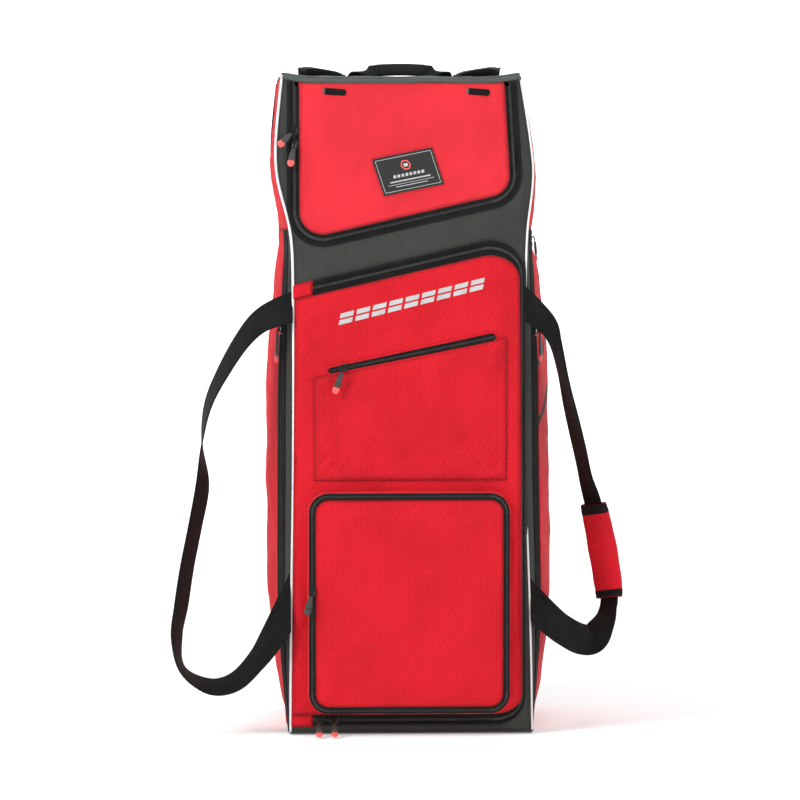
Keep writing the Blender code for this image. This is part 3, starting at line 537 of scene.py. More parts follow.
# ---------------------------------------------------------------- materials
class Look:
    """A node material whose pattern follows the cloth coordinates of the piece."""

    def __init__(self, name, **sockets):
        self.material = bpy.data.materials.new(name)
        self.material.use_nodes = True
        self.tree = self.material.node_tree
        self.shader = self.tree.nodes["Principled BSDF"]
        for key, value in sockets.items():
            self.shader.inputs[key.replace("_", " ")].default_value = value
        held = self.tree.nodes.new("ShaderNodeAttribute")
        held.attribute_type, held.attribute_name = "GEOMETRY", "cloth"
        self.cloth = held.outputs["Vector"]
        split = self.tree.nodes.new("ShaderNodeSeparateXYZ")
        self.tree.links.new(self.cloth, split.inputs[0])
        self.u, self.v, self.seam = split.outputs

    def put(self, kind, values, output=0, **settings):
        node = self.tree.nodes.new("ShaderNode" + kind)
        for key, value in settings.items():
            setattr(node, key, value)
        for key, value in values.items():
            if isinstance(value, bpy.types.NodeSocket):
                self.tree.links.new(value, node.inputs[key])
            else:
                node.inputs[key].default_value = value
        return node.outputs[output]

    def math(self, operation, a, b=0.0, c=0.0):
        return self.put("Math", {0: a, 1: b, 2: c}, operation=operation)

    def mix(self, share, a, b):
        return self.put("Mix", {0: share, 6: a, 7: b}, output=2, data_type="RGBA")

    def tint(self, colour, amount):
        """A colour multiplied by a number."""
        return self.put(
            "Mix", {0: 1.0, 6: colour, 7: amount}, output=2, data_type="RGBA", blend_type="MULTIPLY"
        )

    def band(self, value, low, high):
        """0 below low and 1 above high, smooth between."""
        values = {"Value": value, "From Min": low, "From Max": high}
        return self.put("MapRange", values, interpolation_type="SMOOTHSTEP")

    def noise(self, scale, detail=2.0, rough=0.5):
        values = {"Vector": self.cloth, "Scale": scale, "Detail": detail, "Roughness": rough}
        return self.put("TexNoise", values)

    def wave(self, value, pitch):
        return self.math("COSINE", self.math("MULTIPLY", value, 2 * math.pi / pitch))

    def weave(self, pitch):
        return self.math("MULTIPLY", self.wave(self.u, pitch), self.wave(self.v, pitch))

    def cells(self, pitch):
        """A honeycomb: 1 in the middle of each cell and 0 at its corners."""
        k = 4 * math.pi / (math.sqrt(3) * pitch)
        total = self.math("COSINE", self.math("MULTIPLY", self.u, k))
        for turn in (1, -1):
            slanted = self.math(
                "MULTIPLY_ADD", self.u, -0.5 * k, self.math("MULTIPLY", self.v, turn * 0.866025 * k)
            )
            total = self.math("ADD", total, self.math("COSINE", slanted))
        return self.math("MULTIPLY_ADD", total, 1 / 4.5, 1.5 / 4.5)

    def finish(self, colour=None, bumps=(), rough=None):
        if colour is not None:
            self.tree.links.new(colour, self.shader.inputs["Base Color"])
        if rough is not None:
            self.tree.links.new(rough, self.shader.inputs["Roughness"])
        normal = None
        for height, distance, strength in bumps:
            values = {"Height": height, "Distance": distance, "Strength": strength}
            if normal is not None:
                values["Normal"] = normal
            normal = self.put("Bump", values)
        if normal is not None:
            self.tree.links.new(normal, self.shader.inputs["Normal"])
        return self.material


def rgb(r, g, b, amount=1.0):
    return (r * amount, g * amount, b * amount, 1.0)


def fabric(name, colour, style, pitch, contrast, relief, sheen, rough=0.78, seam_dark=0.62, stripes=None):
    """Woven polyester: fine threads, a larger pattern, soft folds, and painted shade darkening the cloth
    along its seams.
    """
    look = Look(
        name, Roughness=rough, Sheen_Weight=sheen, Sheen_Roughness=0.45, Specular_IOR_Level=0.12
    )
    thread = look.weave(0.00085)
    if style == "honeycomb":
        pattern = look.band(look.cells(pitch), 0.12, 0.62)
    elif style == "diagonal":
        slant = look.math("ADD", look.u, look.v)
        across = look.math("SUBTRACT", look.u, look.v)
        pattern = look.math(
            "MULTIPLY_ADD", look.math("ADD", look.wave(slant, pitch), look.wave(across, pitch)), 0.25, 0.5
        )
    else:
        pattern = look.math("MULTIPLY_ADD", look.weave(pitch), 0.5, 0.5)
    soft = look.noise(9.0, 3.0)
    base = look.mix(look.band(soft, 0.3, 0.7), rgb(*colour, 0.93), rgb(*colour, 1.07))
    if stripes:
        slope, spots, wide, dark = stripes
        for start in spots:
            line = look.math("ABSOLUTE", look.math("SUBTRACT", look.v, look.math(
                "MULTIPLY_ADD", look.u, slope, start)))
            base = look.mix(look.band(line, wide * 0.47, wide * 0.53), dark, base)
    shade = look.math("MULTIPLY_ADD", pattern, contrast, 1.0 - contrast * 0.6)
    shade = look.math("MULTIPLY_ADD", thread, 0.03, shade)
    speck = look.band(look.noise(900.0, 1.0), 0.25, 0.8)
    shade = look.math("MULTIPLY", shade, look.math("MULTIPLY_ADD", speck, 0.10, 0.95))
    # Painted shade: the cloth is darkened towards its seams, where it dips in and shade falls.
    seam_shade = look.band(look.seam, 0.0, 0.007)
    shade = look.math("MULTIPLY", shade, look.math("MULTIPLY_ADD", seam_shade, 1 - seam_dark, seam_dark))
    creased = look.noise(38.0, 3.0, 0.55)
    uneven = look.math("MULTIPLY_ADD", look.noise(60.0), 0.16, rough - 0.08)
    return look.finish(
        look.tint(base, shade),
        [(creased, 0.004, 0.25), (pattern, relief, 0.9), (thread, 0.00012, 0.6)],
        uneven,
    )


def webbing(name, colour, rib=0.0016, sheen=0.04):
    """Woven tape with ribs across it."""
    look = Look(name, Roughness=0.72, Sheen_Weight=sheen, Sheen_Roughness=0.4, Specular_IOR_Level=0.12)
    across, along = look.wave(look.u, rib), look.wave(look.v, rib * 0.8)
    thread = look.math("MULTIPLY", across, along)
    shade = look.math("MULTIPLY_ADD", thread, 0.18, 1.0)
    faded = look.band(look.noise(25.0, 3.0), 0.3, 0.75)
    base = look.mix(faded, rgb(*colour, 0.85), rgb(*colour, 1.5))
    uneven = look.math("MULTIPLY_ADD", look.noise(120.0), 0.2, 0.62)
    return look.finish(look.tint(base, shade), [(thread, 0.00018, 0.8)], uneven)


def moulded(name, colour, rough, metallic=0.0, grain=0.0001):
    """Plastic, rubber or enamel: slightly cloudy, with a fine grain."""
    look = Look(name, Roughness=rough, Metallic=metallic)
    where = look.put("TexCoord", {}, output=3)
    spots = look.put("TexNoise", {"Vector": where, "Scale": 700.0, "Detail": 3.0})
    cloud = look.put("TexNoise", {"Vector": where, "Scale": 60.0, "Detail": 2.0})
    base = look.mix(cloud, rgb(*colour, 0.8), rgb(*colour, 1.25))
    uneven = look.math("MULTIPLY_ADD", cloud, 0.2, rough - 0.1)
    return look.finish(base, [(spots, grain, 0.5)], uneven)


# The flap's red is the body red painted lighter and whiter: painted light and sheen where the flap leans back
# into the light.
RED, FLAP_RED_LIT, GREY = (0.640, 0.0120, 0.0230), (0.73, 0.030, 0.044), (0.049, 0.052, 0.047)
BLACK = (0.0060, 0.0063, 0.0060)
red = fabric("red_honeycomb_cloth", RED, "honeycomb", 0.0056, 0.15, 0.00022, 0.08)
red_flap_lit = fabric("red_ripstop_cloth_lit", FLAP_RED_LIT, "diagonal", 0.0042, 0.16, 0.0002, 0.10)
red_side = fabric("red_oxford_cloth", RED, "plain", 0.0016, 0.10, 0.00015, 0.03)
red_right = fabric(
    "red_oxford_striped_cloth", RED, "plain", 0.0016, 0.10, 0.00015, 0.12,
    stripes=(0.75, (0.615, 0.535), 0.012, rgb(*GREY, 0.7)),
)
grey = fabric("grey_oxford_cloth", GREY, "plain", 0.0014, 0.16, 0.00016, 0.10, seam_dark=0.7)
grey_rim = fabric(
    "grey_binding_cloth", (0.085, 0.098, 0.088), "plain", 0.0012, 0.14, 0.00012, 0.25, seam_dark=0.95
)
black_pad = fabric("black_mesh_cloth", (0.011, 0.011, 0.012), "honeycomb", 0.0034, 0.5, 0.0006, 0.1)
lining = fabric("black_lining_cloth", (0.018, 0.018, 0.02), "plain", 0.0011, 0.1, 0.0001, 0.1, 0.55)
belt = webbing("black_webbing_weave", BLACK)
zip_tape = webbing("black_zip_tape_weave", (0.0085, 0.0088, 0.0085), 0.0009, 0.03)
binding = webbing("black_binding_weave", (0.008, 0.008, 0.008), 0.0012, 0.04)
coil = moulded("zip_coil_nylon", (0.052, 0.054, 0.051), 0.38)
white_cord = fabric(
    "white_reflective_piping", (0.84, 0.85, 0.85), "plain", 0.0009, 0.12, 0.0001, 0.0, 0.45, 1.0
)
black_metal = moulded("black_enamel_slider", (0.014, 0.015, 0.014), 0.28, 0.55)
dark_rubber = moulded("dark_rubber_pull", (0.036, 0.040, 0.037), 0.48, 0.0, 0.0003)
pink_tip = moulded("salmon_rubber_tip", (0.90, 0.115, 0.105), 0.42, 0.0, 0.0002)
patch = moulded("black_label_patch", (0.010, 0.012, 0.011), 0.6, 0.0, 0.0003)
print_grey = moulded("silver_print", (0.50, 0.51, 0.51), 0.38, 0.0, 0.0001)
red_thread = moulded("red_sewing_thread", (0.42, 0.006, 0.014), 0.7)
black_thread = moulded("black_sewing_thread", (0.02, 0.02, 0.02), 0.6)
board = moulded("stiffener_board", (0.03, 0.03, 0.03), 0.5, 0.0, 0.0004)


# ---------------------------------------------------------------- zips
# How far from the teeth to the sewn edge, and how far proud: flat tape, then a folded welt.
TAPE = (
    (0.02, -0.0012), (0.02, 0.0004), (0.36, 0.0006), (0.40, 0.0013), (0.52, 0.0020),
    (0.75, 0.0022), (0.94, 0.0016), (1.04, 0.0003), (1.04, -0.0012),
)


def tooth_row(centre, wide, run, out):
    """Coil teeth at these places of a zip's middle line, on the side that wide points to."""
    return beads(centre + wide * 0.0009, wide * 0.0012, run * 0.00078, out * 0.0008)


def strip(a, b, plane, section=TAPE, closed=False):
    """A section of (share of the way from line a to line b, height) swept along both."""
    share, high = np.array(section).T
    flat = a[:, None] + (b - a)[:, None] * share[None, :, None]
    y = np.broadcast_to(plane, (len(a),))[:, None] - high[None]
    return sweep(stacked(flat[..., 0], y, flat[..., 1]), closed)


def teeth(a, b, plane):
    """One row of coil teeth beside line a, on the side where line b is."""
    rows = resample(np.column_stack([a, unit(b - a), np.broadcast_to(plane, (len(a),))]), TOOTH_PITCH)
    aside = unit(rows[:, 2:4])
    wide, run = stacked(aside[:, 0], 0.0, aside[:, 1]), stacked(-aside[:, 1], 0.0, aside[:, 0])
    return tooth_row(stacked(rows[:, 0], rows[:, 4] - 0.0006, rows[:, 1]), wide, run, FRONT_OUT)


def zip_half(name, middle, edge, plane, body, replaces=(), closed=False):
    """One side of a zip, between its teeth and the edge that it is sewn by."""
    both = resample(np.hstack([middle, edge]), 0.003, closed)
    a, b = both[:, :2], both[:, 2:]
    piece = Piece(name).add(*strip(a, b, plane, TAPE, closed))
    if closed:
        a, b = np.vstack([a, a[:1]]), np.vstack([b, b[:1]])
    piece.add(*teeth(a, b, plane), look=1)
    sewn = a + (b - a) * 0.86
    line = stacked(sewn[:, 0], plane - 0.0021, sewn[:, 1])
    piece.add(*stitches(line, FRONT_OUT, thick=0.0003), look=2)
    return piece.make(body, [zip_tape, coil, black_thread], "zip_tape", replaces, crisp=50)


def decal(sheet, corners, proud=0.0004, thick=0.0008, steps=6):
    """A four-cornered patch of this thickness that follows a sheet."""
    a, b, c, d = (np.array(p, float) for p in corners)
    s = np.linspace(0, 1, steps)[:, None, None]
    t = np.linspace(0, 1, steps)[None, :, None]
    flat = (a * (1 - s) + b * s) * (1 - t) + (d * (1 - s) + c * s) * t
    x, z = flat[..., 0], flat[..., 1]
    return shell(stacked(x, sheet.at(x, z) - proud, z), thick, FRONT_OUT, stacked(x, z, SEAMLESS))


def pill(sheet, start, end, half, rise, steps=24):
    """A soft raised bar with round ends, on a sheet between two points."""
    start, end = np.array(start), np.array(end)
    run = unit(end - start)
    up = np.array([-run[1], run[0]])
    t = (1 - np.cos(np.linspace(0, math.pi, steps))) / 2
    spots = start + (end - start) * t[:, None]
    ends = np.minimum(t, 1 - t) * np.linalg.norm(end - start)
    full = np.sqrt(np.clip(1 - np.clip(1 - ends / (half * 0.7), 0, 1) ** 2, 0.03, 1))
    a = np.linspace(0, math.pi, 12)
    wide = np.sign(np.cos(a)) * np.abs(np.cos(a)) ** 0.8
    flat = spots[:, None] + up * (half * full[:, None] * wide)[..., None]
    y = sheet.at(spots[:, 0], spots[:, 1])[:, None] + 0.0008 - (rise * full[:, None]) * np.sin(a) ** 0.6
    return sweep(stacked(flat[..., 0], y, flat[..., 1]))


def sew(name, sheet, lines, body, look, slot, proud=0.0002, join=None):
    """Rows of stitches that lie on a sheet."""
    piece = Piece(name)
    for line in lines:
        on, out = sheet.on(resample(line, 0.0044), proud)
        piece.add(*stitches(on, out))
    obj = piece.make(None if join else body, look, slot)
    if join:
        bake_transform(obj)


# ---------------------------------------------------------------- the grey front
def inside(points, outline):
    """Which points of the XZ plane lie inside an outline."""
    x, z = points.T
    found = np.zeros(len(points), bool)
    for (ax, az), (bx, bz) in zip(outline, np.roll(outline, -1, axis=0)):
        if az != bz:
            found ^= ((az > z) != (bz > z)) & (x < (bx - ax) * (z - az) / (bz - az) + ax)
    return found


def holed(sheet, holes, seams):
    """A sheet as a closed surface with real thickness, and with openings cut cleanly in it."""
    points = sheet.grid.reshape(-1, 3).copy()
    faces = np.array(grid_faces(*sheet.x.shape))
    for hole in holes:
        hole = resample(hole, 0.003, closed=True)
        flat = points[:, [0, 2]]
        lost = inside(flat, hole)
        faces = faces[~lost[faces].all(axis=1)]
        points[lost] = np.insert(nearest(flat[lost], hole)[0], 1, points[lost, 1], axis=1)
    used, faces = np.unique(faces, return_inverse=True)
    faces, points = faces.reshape(-1, 4), points[used]
    behind = points - FRONT_OUT * SHEET_THICK
    edges = {}
    for face in faces.tolist():
        for p, q in zip(face, face[1:] + face[:1]):
            edges[(p, q)] = True
    count = len(points)
    rim = [(q, p, p + count, q + count) for p, q in edges if (q, p) not in edges]
    x, _, z = points.T
    cloth = stacked(x, z, np.min([outline_distance(x, z, line) for line in seams], axis=0))
    every = faces.tolist() + (faces[:, ::-1] + count).tolist() + rim
    return np.vstack([points, behind]), every, np.vstack([cloth, cloth])


def front_cloth(name, sheet, holes, seams, replaces):
    """A grey front panel with openings in it, with painted shade along all of its seams."""
    piece = Piece(name).add(*holed(sheet, holes, seams))
    return piece.make("root", grey, "grey_fabric", replaces, crisp=50)


def seam_outline(low, high, inset, step=0.01):
    levels = np.linspace(low, high, max(2, round((high - low) / step)))
    left = [(edge_x(z, -1, inset), z) for z in reversed(levels)]
    return left + [(edge_x(z, 1, inset), z) for z in levels]


def make_grey_front():
    flap, door = flap_outline(FLAP_ZIP), door_outline(1, ZIP_START)
    outline = seam_outline(0.600, SIDE_HIGH - 0.001, 0.0010)
    sheet = Sheet(outline, FRONT, 0.0, 0.02, 0.004)
    calm = [outline_distance(sheet.x, sheet.z, line) for line in (flap, door)]
    share = smoothstep(0.0, 0.018, np.min([sheet.seam, *calm], axis=0))
    folds = ripples(sheet.x + 0.6 * sheet.z, sheet.z - 0.8 * sheet.x, 3, 0.045, (1.0, 0.5))
    sheet.grid[..., 1] -= 0.0004 + (0.0018 + folds * 0.0032) * share
    flap_hole, door_hole = flap_outline(FLAP_ZIP - 0.0015), door_outline(0.93, -0.60)
    front_cloth(
        "upper_front_cloth", sheet, [flap_hole, door_hole], [outline, flap, door], ["front_upper_panel"]
    )
    outline = seam_outline(SIDE_LOW - 0.002, 0.1200, 0.0010)
    sheet = Sheet(outline, FRONT, 0.0, 0.01, 0.004)
    share = smoothstep(0, 0.012, np.minimum(sheet.seam, outline_distance(sheet.x, sheet.z, door)))
    sheet.grid[..., 1] -= 0.0004 + (0.0010 + ripples(sheet.x, sheet.z, 5, 0.04) * 0.0014) * share
    front_cloth("lower_front_cloth", sheet, [door_hole], [outline, door], ["front_lower_frame"])
    levels, share = np.linspace(0.112, 0.612, 90), np.linspace(0, 1, 6)
    seam = np.array([edge_x(z, 1, 0.0010) for z in levels])
    near = reach([(DOOR_RIGHT + MAIN_ZIP_RIGHT, z) for z in levels], TAPE_SHIFT)[:, :1] - 0.002
    x = near + (seam[:, None] - near) * share
    z = np.repeat(levels[:, None], 6, axis=1)
    grid = stacked(x, FRONT - 0.0006 - 0.0006 * np.sin(math.pi * share), z)
    # The whole strip is set 4 mm from a seam, so it carries the fabric's painted seam shade all over.
    piece = Piece("right_front_cloth").add(*shell(grid, 0.0018, FRONT_OUT, stacked(x, z, 0.004)))
    piece.make("root", grey, "grey_fabric")


# ---------------------------------------------------------------- top flap
def make_flap():
    join = ("root", "top_flap", (0, FRONT, 0.934), (0, FRONT, 0.918))
    sheet = Sheet(flap_outline(0.0008), FRONT - 0.0008, 0.0085, 0.055, 0.0045)
    pull = ripples(sheet.x - 0.5 * sheet.z, sheet.z + 0.4 * sheet.x, 11, 0.085, (1.0, 0.45))
    sheet.grid[..., 1] -= pull * 0.0030 * smoothstep(0, 0.035, sheet.seam)
    sheet.settle(pressure=1.2, grow=0.008, cap=0.003)
    obj = Piece("flap_cloth").add(*sheet.part()).make(None, red_flap_lit, "red_fabric", ["top_flap_panel"])
    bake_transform(obj)
    sewn = flap_outline(-0.0035)
    sew("flap_stitches", sheet, [sewn], "top_flap", red_thread, "red_fabric", join=join)
    middle = flap_outline(FLAP_ZIP / 2)
    zip_half("flap_zip_outer_half", middle, flap_outline(FLAP_ZIP + 0.004), FRONT - 0.0008, "root",
             ["flap_zip_outer_tape"])
    low_middle, low_edge = flap_outline(FLAP_ZIP / 2, -0.006), flap_outline(-0.0005, -0.006)
    zip_half("flap_zip_inner_half", low_middle, low_edge, FRONT - 0.0006, "top_flap")
    for word, centre in (("left", -0.1065), ("right", 0.0975)):
        piece = Piece(word + "_flap_loop_webbing")
        piece.add(*pill(sheet, (centre - 0.0165, 0.9172), (centre + 0.0165, 0.9148), 0.0048, 0.0034))
        piece.add(*pill(sheet, (centre - 0.0172, 0.9173), (centre - 0.0118, 0.9169), 0.0044, 0.0040), look=1)
        piece.make("top_flap", [belt, grey_rim], "black_webbing", [word + "_flap_loop"], crisp=60)
    make_label(sheet)


def make_label(sheet):
    wide, high = LABEL_SIZE
    turn, (cx, cz) = (math.cos(LABEL_TILT), math.sin(LABEL_TILT)), LABEL_CENTRE

    def placed(spots):
        """Places along and up the label as places of the XZ plane. The soft flap lets it lean a little."""
        lean = turn[1] * LABEL_LEAN
        return [(cx + u * turn[0] - v * lean, cz + u * turn[1] + v * turn[0]) for u, v in spots]

    def block(u0, u1, v0, v1, lean=0.0):
        spots = ((u0, v0), (u1, v0), (u1 + lean, v1), (u0 + lean, v1))
        piece.add(*decal(sheet, placed(spots), 0.0022, 0.0006), look=1)

    piece = Piece("label_plate")
    plate = [(s * wide / 2, t * high / 2) for s, t in ((-1, -1), (1, -1), (1, 1), (-1, 1))]
    piece.add(*decal(sheet, placed(plate), 0.0019, 0.0016, 10))
    u, v, line = wide / 2 - 0.0035, high / 2 - 0.0035, 0.0006
    for s in (-1, 1):
        block(-u, u, s * v - line / 2, s * v + line / 2)
        block(s * u - line / 2, s * u + line / 2, -v, v)
    for n in range(8):
        block(-0.0225 + n * 0.0058, -0.0187 + n * 0.0058, -0.0052, -0.0012, lean=0.0008)
    lines = ((0.0290, -0.0112, -0.0094), (0.0330, -0.0146, -0.0140), (0.0230, -0.0180, -0.0170))
    for half, low, top in lines:
        block(-half, half, low, top)
    outer, inner = ([(math.cos(a) * size, 0.0102 + math.sin(a) * size) for a in np.linspace(0, math.tau, 7)]
                    for size in (0.0075, 0.0075 * 0.78))
    for a, b, c, d in zip(outer, outer[1:], inner[1:], inner):
        piece.add(*decal(sheet, placed([a, b, c, d]), 0.0022, 0.0006), look=2)
    block(-0.0030, 0.0030, 0.0080, 0.0124)
    piece.make("top_flap", [patch, print_grey, pink_tip], "label", ["label_patch"], crisp=35)


# ---------------------------------------------------------------- main door and its pockets
def make_door():
    join = ("root", "main_door", (-0.166, FRONT, 0.3), (-0.150, FRONT, 0.3))
    right = reach(door_outline(0, DOOR_LEFT, 0.0006)[2:], DOOR_BULGE)
    outline = [(-0.1640, DOOR_TOP_LEFT), (-0.1685, DOOR_BOTTOM - 0.0005), *right]
    sheet = Sheet(outline, FRONT - 0.0016, 0.0092, 0.045, 0.0045)
    folds = ripples(sheet.x + 0.3 * sheet.z, sheet.z - 0.7 * sheet.x, 21, 0.07, (1.0, 0.5))
    left = 1 - smoothstep(-0.150, -0.105, sheet.x)
    dents = ripples(sheet.x * 0.6 + sheet.z * 0.5, sheet.z, 27, 0.035, (0.6, 1.0))
    share = smoothstep(0, 0.03, sheet.seam)
    sheet.grid[..., 1] -= (folds * 0.0028 + dents * 0.0024 * left) * share
    sheet.settle(pressure=0.8, grow=0.006, cap=0.0025)
    obj = Piece("door_cloth").add(*sheet.part()).make(None, red, "red_fabric", ["main_door_panel"])
    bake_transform(obj)
    sewn = [*reach(door_outline(0, DOOR_LEFT, -0.003)[1:], DOOR_BULGE), (DOOR_LEFT, DOOR_TOP_LEFT - 0.003)]
    sewn[0] = (DOOR_LEFT, DOOR_BOTTOM + 0.003)
    sew("door_stitches", sheet, [sewn], "main_door", red_thread, "red_fabric", join=join)

    def around(share, far, extra=0.0):
        line = door_outline(share, ZIP_START, extra)
        return reach(line[1:] + line[:1], far)

    middle, outer = around(0.5, TEETH_SHIFT), around(1.0, TAPE_SHIFT)
    inner = around(0, INNER_SHIFT, -0.0006)
    zip_half("main_zip_outer_half", middle, outer, FRONT - 0.0004, "root", ["main_zip_outer_tape"])
    zip_half("main_zip_inner_half", middle, inner, FRONT - 0.0006, "main_door", ["main_zip_inner_tape"])
    make_end_tabs()
    make_bars(sheet)
    make_mid_pocket(sheet)
    make_lower_pocket(sheet)


def make_end_tabs():
    """Folded red tabs over both ends of the main zip, sewn with two rows of thread."""
    rise = ZIP_SLOPE * (ZIP_START - DOOR_LEFT + 0.004)
    shapes = {
        "upper": (-0.1655, 0.6205, rise, 0.0220),
        "lower": (-0.1680, 0.0115, 0.0, 0.0180),
    }
    x1 = ZIP_START
    for word, (x0, z0, rise, high) in shapes.items():
        z1 = z0 + rise
        s, t = np.meshgrid(np.linspace(0, 1, 16), np.linspace(0, 1, 14), indexing="ij")
        x, z = x0 + (x1 - x0) * s, z0 + (z1 - z0) * s + high * t
        wide = x1 - x0
        edge = np.minimum(np.minimum(s * wide + 0.004, (1 - s) * wide), np.minimum(t, 1 - t) * high)
        y = FRONT - 0.0010 - 0.0028 * smoothstep(0, 0.0035, edge) - 0.0005 * ripples(x, z, 31, 0.012)
        piece = Piece("zip_end_cloth_" + word)
        # The tab's distance to its edges also sets the fabric's painted shade along them.
        piece.add(*shell(stacked(x, y, z), 0.0018, FRONT_OUT, stacked(x, z, edge)))
        for place in (0.62, 0.84):
            line = [(x0 + (x1 - x0) * place, FRONT - 0.0041, z0 + (z1 - z0) * place + high * k)
                    for k in np.linspace(0.06, 0.94, 12)]
            piece.add(*stitches(np.array(line), FRONT_OUT, 0.0022, 0.001), look=1)
        piece.make("root", [red_side, red_thread], "red_fabric", ["zip_end_tab_" + word], crisp=60)


def make_bars(sheet):
    """A printed row of plain slanted blocks across the top of the door."""
    piece = Piece("printed_blocks")
    start, run, slope, high, lean = (-0.1010, 0.5855), 0.0232, 0.250, 0.0165, 0.0030
    for n in range(9):
        x = start[0] + n * run
        z = start[1] + (x - start[0]) * slope
        wide = run - 0.0042
        for low, top in ((0.0, 0.0070), (0.0096, high)):
            spots = [(x + u + lean * v / high, z + slope * u + v)
                     for u, v in ((0, low), (wide, low), (wide, top), (0, top))]
            piece.add(*decal(sheet, spots, 0.0004, 0.0008))
    piece.make("main_door", print_grey, "red_fabric", crisp=40)


def make_mid_pocket(door):
    rise = MID_SLOPE * (MID_RIGHT - MID_LEFT)
    right = MID_RIGHT - 0.0055
    outline = [(MID_LEFT, MID_TOP_LEFT), (MID_LEFT, MID_LOW), (right, MID_LOW), (right, MID_TOP_LEFT + rise)]
    sheet = Sheet(outline, 0.0, 0.0042, 0.035, 0.0045, 0.75)
    puff = -sheet.grid[..., 1]
    folds = ripples(sheet.x * 0.8 + sheet.z * 0.9, sheet.z * 1.1 - sheet.x * 0.5, 41, 0.06, (1.0, 0.55))
    corner = np.exp(-(((sheet.x - MID_LEFT) / 0.05) ** 2 + ((sheet.z - MID_LOW) / 0.05) ** 2))
    corner += np.exp(-(((sheet.x - right) / 0.04) ** 2 + ((sheet.z - MID_LOW) / 0.04) ** 2))
    pucker = np.cos((sheet.x - sheet.z) * 2 * math.pi / 0.021) * corner
    inside = smoothstep(0, 0.02, sheet.seam)
    lift = 0.0014 + puff + (folds * 0.0030 + pucker * 0.0017) * inside
    sheet.grid[..., 1] = door.at(sheet.x, sheet.z) - np.maximum(lift, 0.0010)
    sheet.settle(pressure=0.8, grow=0.006, cap=0.002)
    obj = Piece("mid_pocket_cloth").add(*sheet.part(0.0018)).make(
        "main_door", red, "red_fabric", ["mid_pocket_panel"]
    )
    lines = []
    for inset in (0.0022, 0.0068):
        lines.append([(MID_LEFT + inset, MID_TOP_LEFT - 0.006), (MID_LEFT + inset, MID_LOW + inset),
                      (right - 0.004, MID_LOW + inset)])
    sew("mid_pocket_stitches", sheet, lines, "main_door", red_thread, "red_fabric", 0.0001)

    x = np.linspace(-0.1165, 0.1225, 90)
    middle = stacked(x, MID_TOP_LEFT + MID_ZIP / 2 + MID_SLOPE * (x - MID_LEFT))
    up = unit(np.array([-MID_SLOPE, 1.0]))
    ends = np.minimum(x - x[0], x[-1] - x)
    full = np.sqrt(np.clip(1 - np.clip(1 - ends / 0.0046, 0, 1) ** 2, 0.02, 1))
    half = np.linspace(0.0040, 0.0058, len(x)) * full
    ground = door.at(middle[:, 0], middle[:, 1]) - 0.0004
    piece = Piece("mid_pocket_zip_tapes")
    for sign in (1, -1):
        edge = middle + up * sign * half[:, None]
        section = [(s, h * 0.75 + 0.0003) for s, h in TAPE]
        piece.add(*strip(middle, edge, ground, section))
        piece.add(*teeth(middle, edge, ground), look=1)
    piece.make("main_door", [zip_tape, coil], "zip_tape", ["mid_pocket_zip"], crisp=50)
    piece = Piece("mid_pocket_welt")
    for sign in (1, -1):
        line = middle + up * sign * (half[:, None] + 0.0012)
        piece.add(*tube(stacked(line[:, 0], ground - 0.0006, line[:, 1]), 0.0013, 8))
    piece.make("main_door", red, "red_fabric")


def make_lower_pocket(door):
    loop = resample(low_outline(0.0), 0.004, closed=True)
    face = FRONT - GAP - LOW_DEPTH
    bulge = ripples(loop[:, 0], loop[:, 1], 51, 0.05) * 0.0010
    base = door.at(loop[:, 0], loop[:, 1]) + 0.002
    out = outward(loop, True)
    profile = [(0.0020, 0.0), (0.0030, 0.12), (0.0022, 0.3), (0.0026, 0.6), (0.0016, 0.85), (0.0002, 0.97),
               (-0.0020, 1.0), (-0.0030, 0.95), (-0.0030, 0.05)]
    rings = []
    for n, (x, z) in enumerate(loop):
        ring = []
        for u, s in profile:
            far = u - 0.0012 + bulge[n] * math.sin(math.pi * s)
            ring.append((x + out[n, 0] * far, base[n] + (face - 0.0010 - base[n]) * s, z + out[n, 1] * far))
        rings.append(ring)
    points, faces, cloth = sweep(np.array(rings), True)
    # Painted shade on the wall: these distances make it darkest where it meets the door, lightest halfway
    # out, darker again at its rim and on its whole inner face.
    cloth[:, 2] = np.tile([0.0, 0.003, 0.012, 0.012, 0.006, 0.001, 0.001, 0.001, 0.001], len(loop))
    obj = Piece("lower_pocket_wall_cloth").add(points, faces, cloth).make(
        "main_door", red, "red_fabric", ["lower_pocket_wall"]
    )
    middle, outer, inner = (low_outline(LOW_BAND * s) for s in (0.5, 0.0, 1.0))
    plane = face - 0.0016
    zip_half("lower_zip_outer_half", middle, outer, plane - 0.0008, "main_door", closed=True)
    zip_half("lower_zip_inner_half", middle, inner, plane - 0.0008, "lower_pocket_front",
             ["lower_pocket_zip_band"], closed=True)

    sheet = Sheet(low_outline(LOW_BAND - 0.0006), plane - 0.0006, 0.0072, 0.045, 0.0045)
    slack = ripples(sheet.x - 0.55 * sheet.z, sheet.z + 0.75 * sheet.x, 61, 0.085, (1.0, 0.40))
    fine = ripples(sheet.x, sheet.z, 63, 0.04)
    inside = smoothstep(0, 0.035, sheet.seam)
    sheet.grid[..., 1] -= (slack * 0.0036 + fine * 0.0007) * inside
    sheet.settle(pressure=0.8, grow=0.007, cap=0.0025)
    obj = Piece("lower_pocket_cloth").add(*sheet.part()).make(
        "lower_pocket_front", red, "red_fabric", ["lower_pocket_cover"]
    )
    sewn = low_outline(LOW_BAND + 0.0028)
    sew("lower_pocket_stitches", sheet, [sewn + sewn[:1]], "lower_pocket_front", red_thread, "red_fabric")


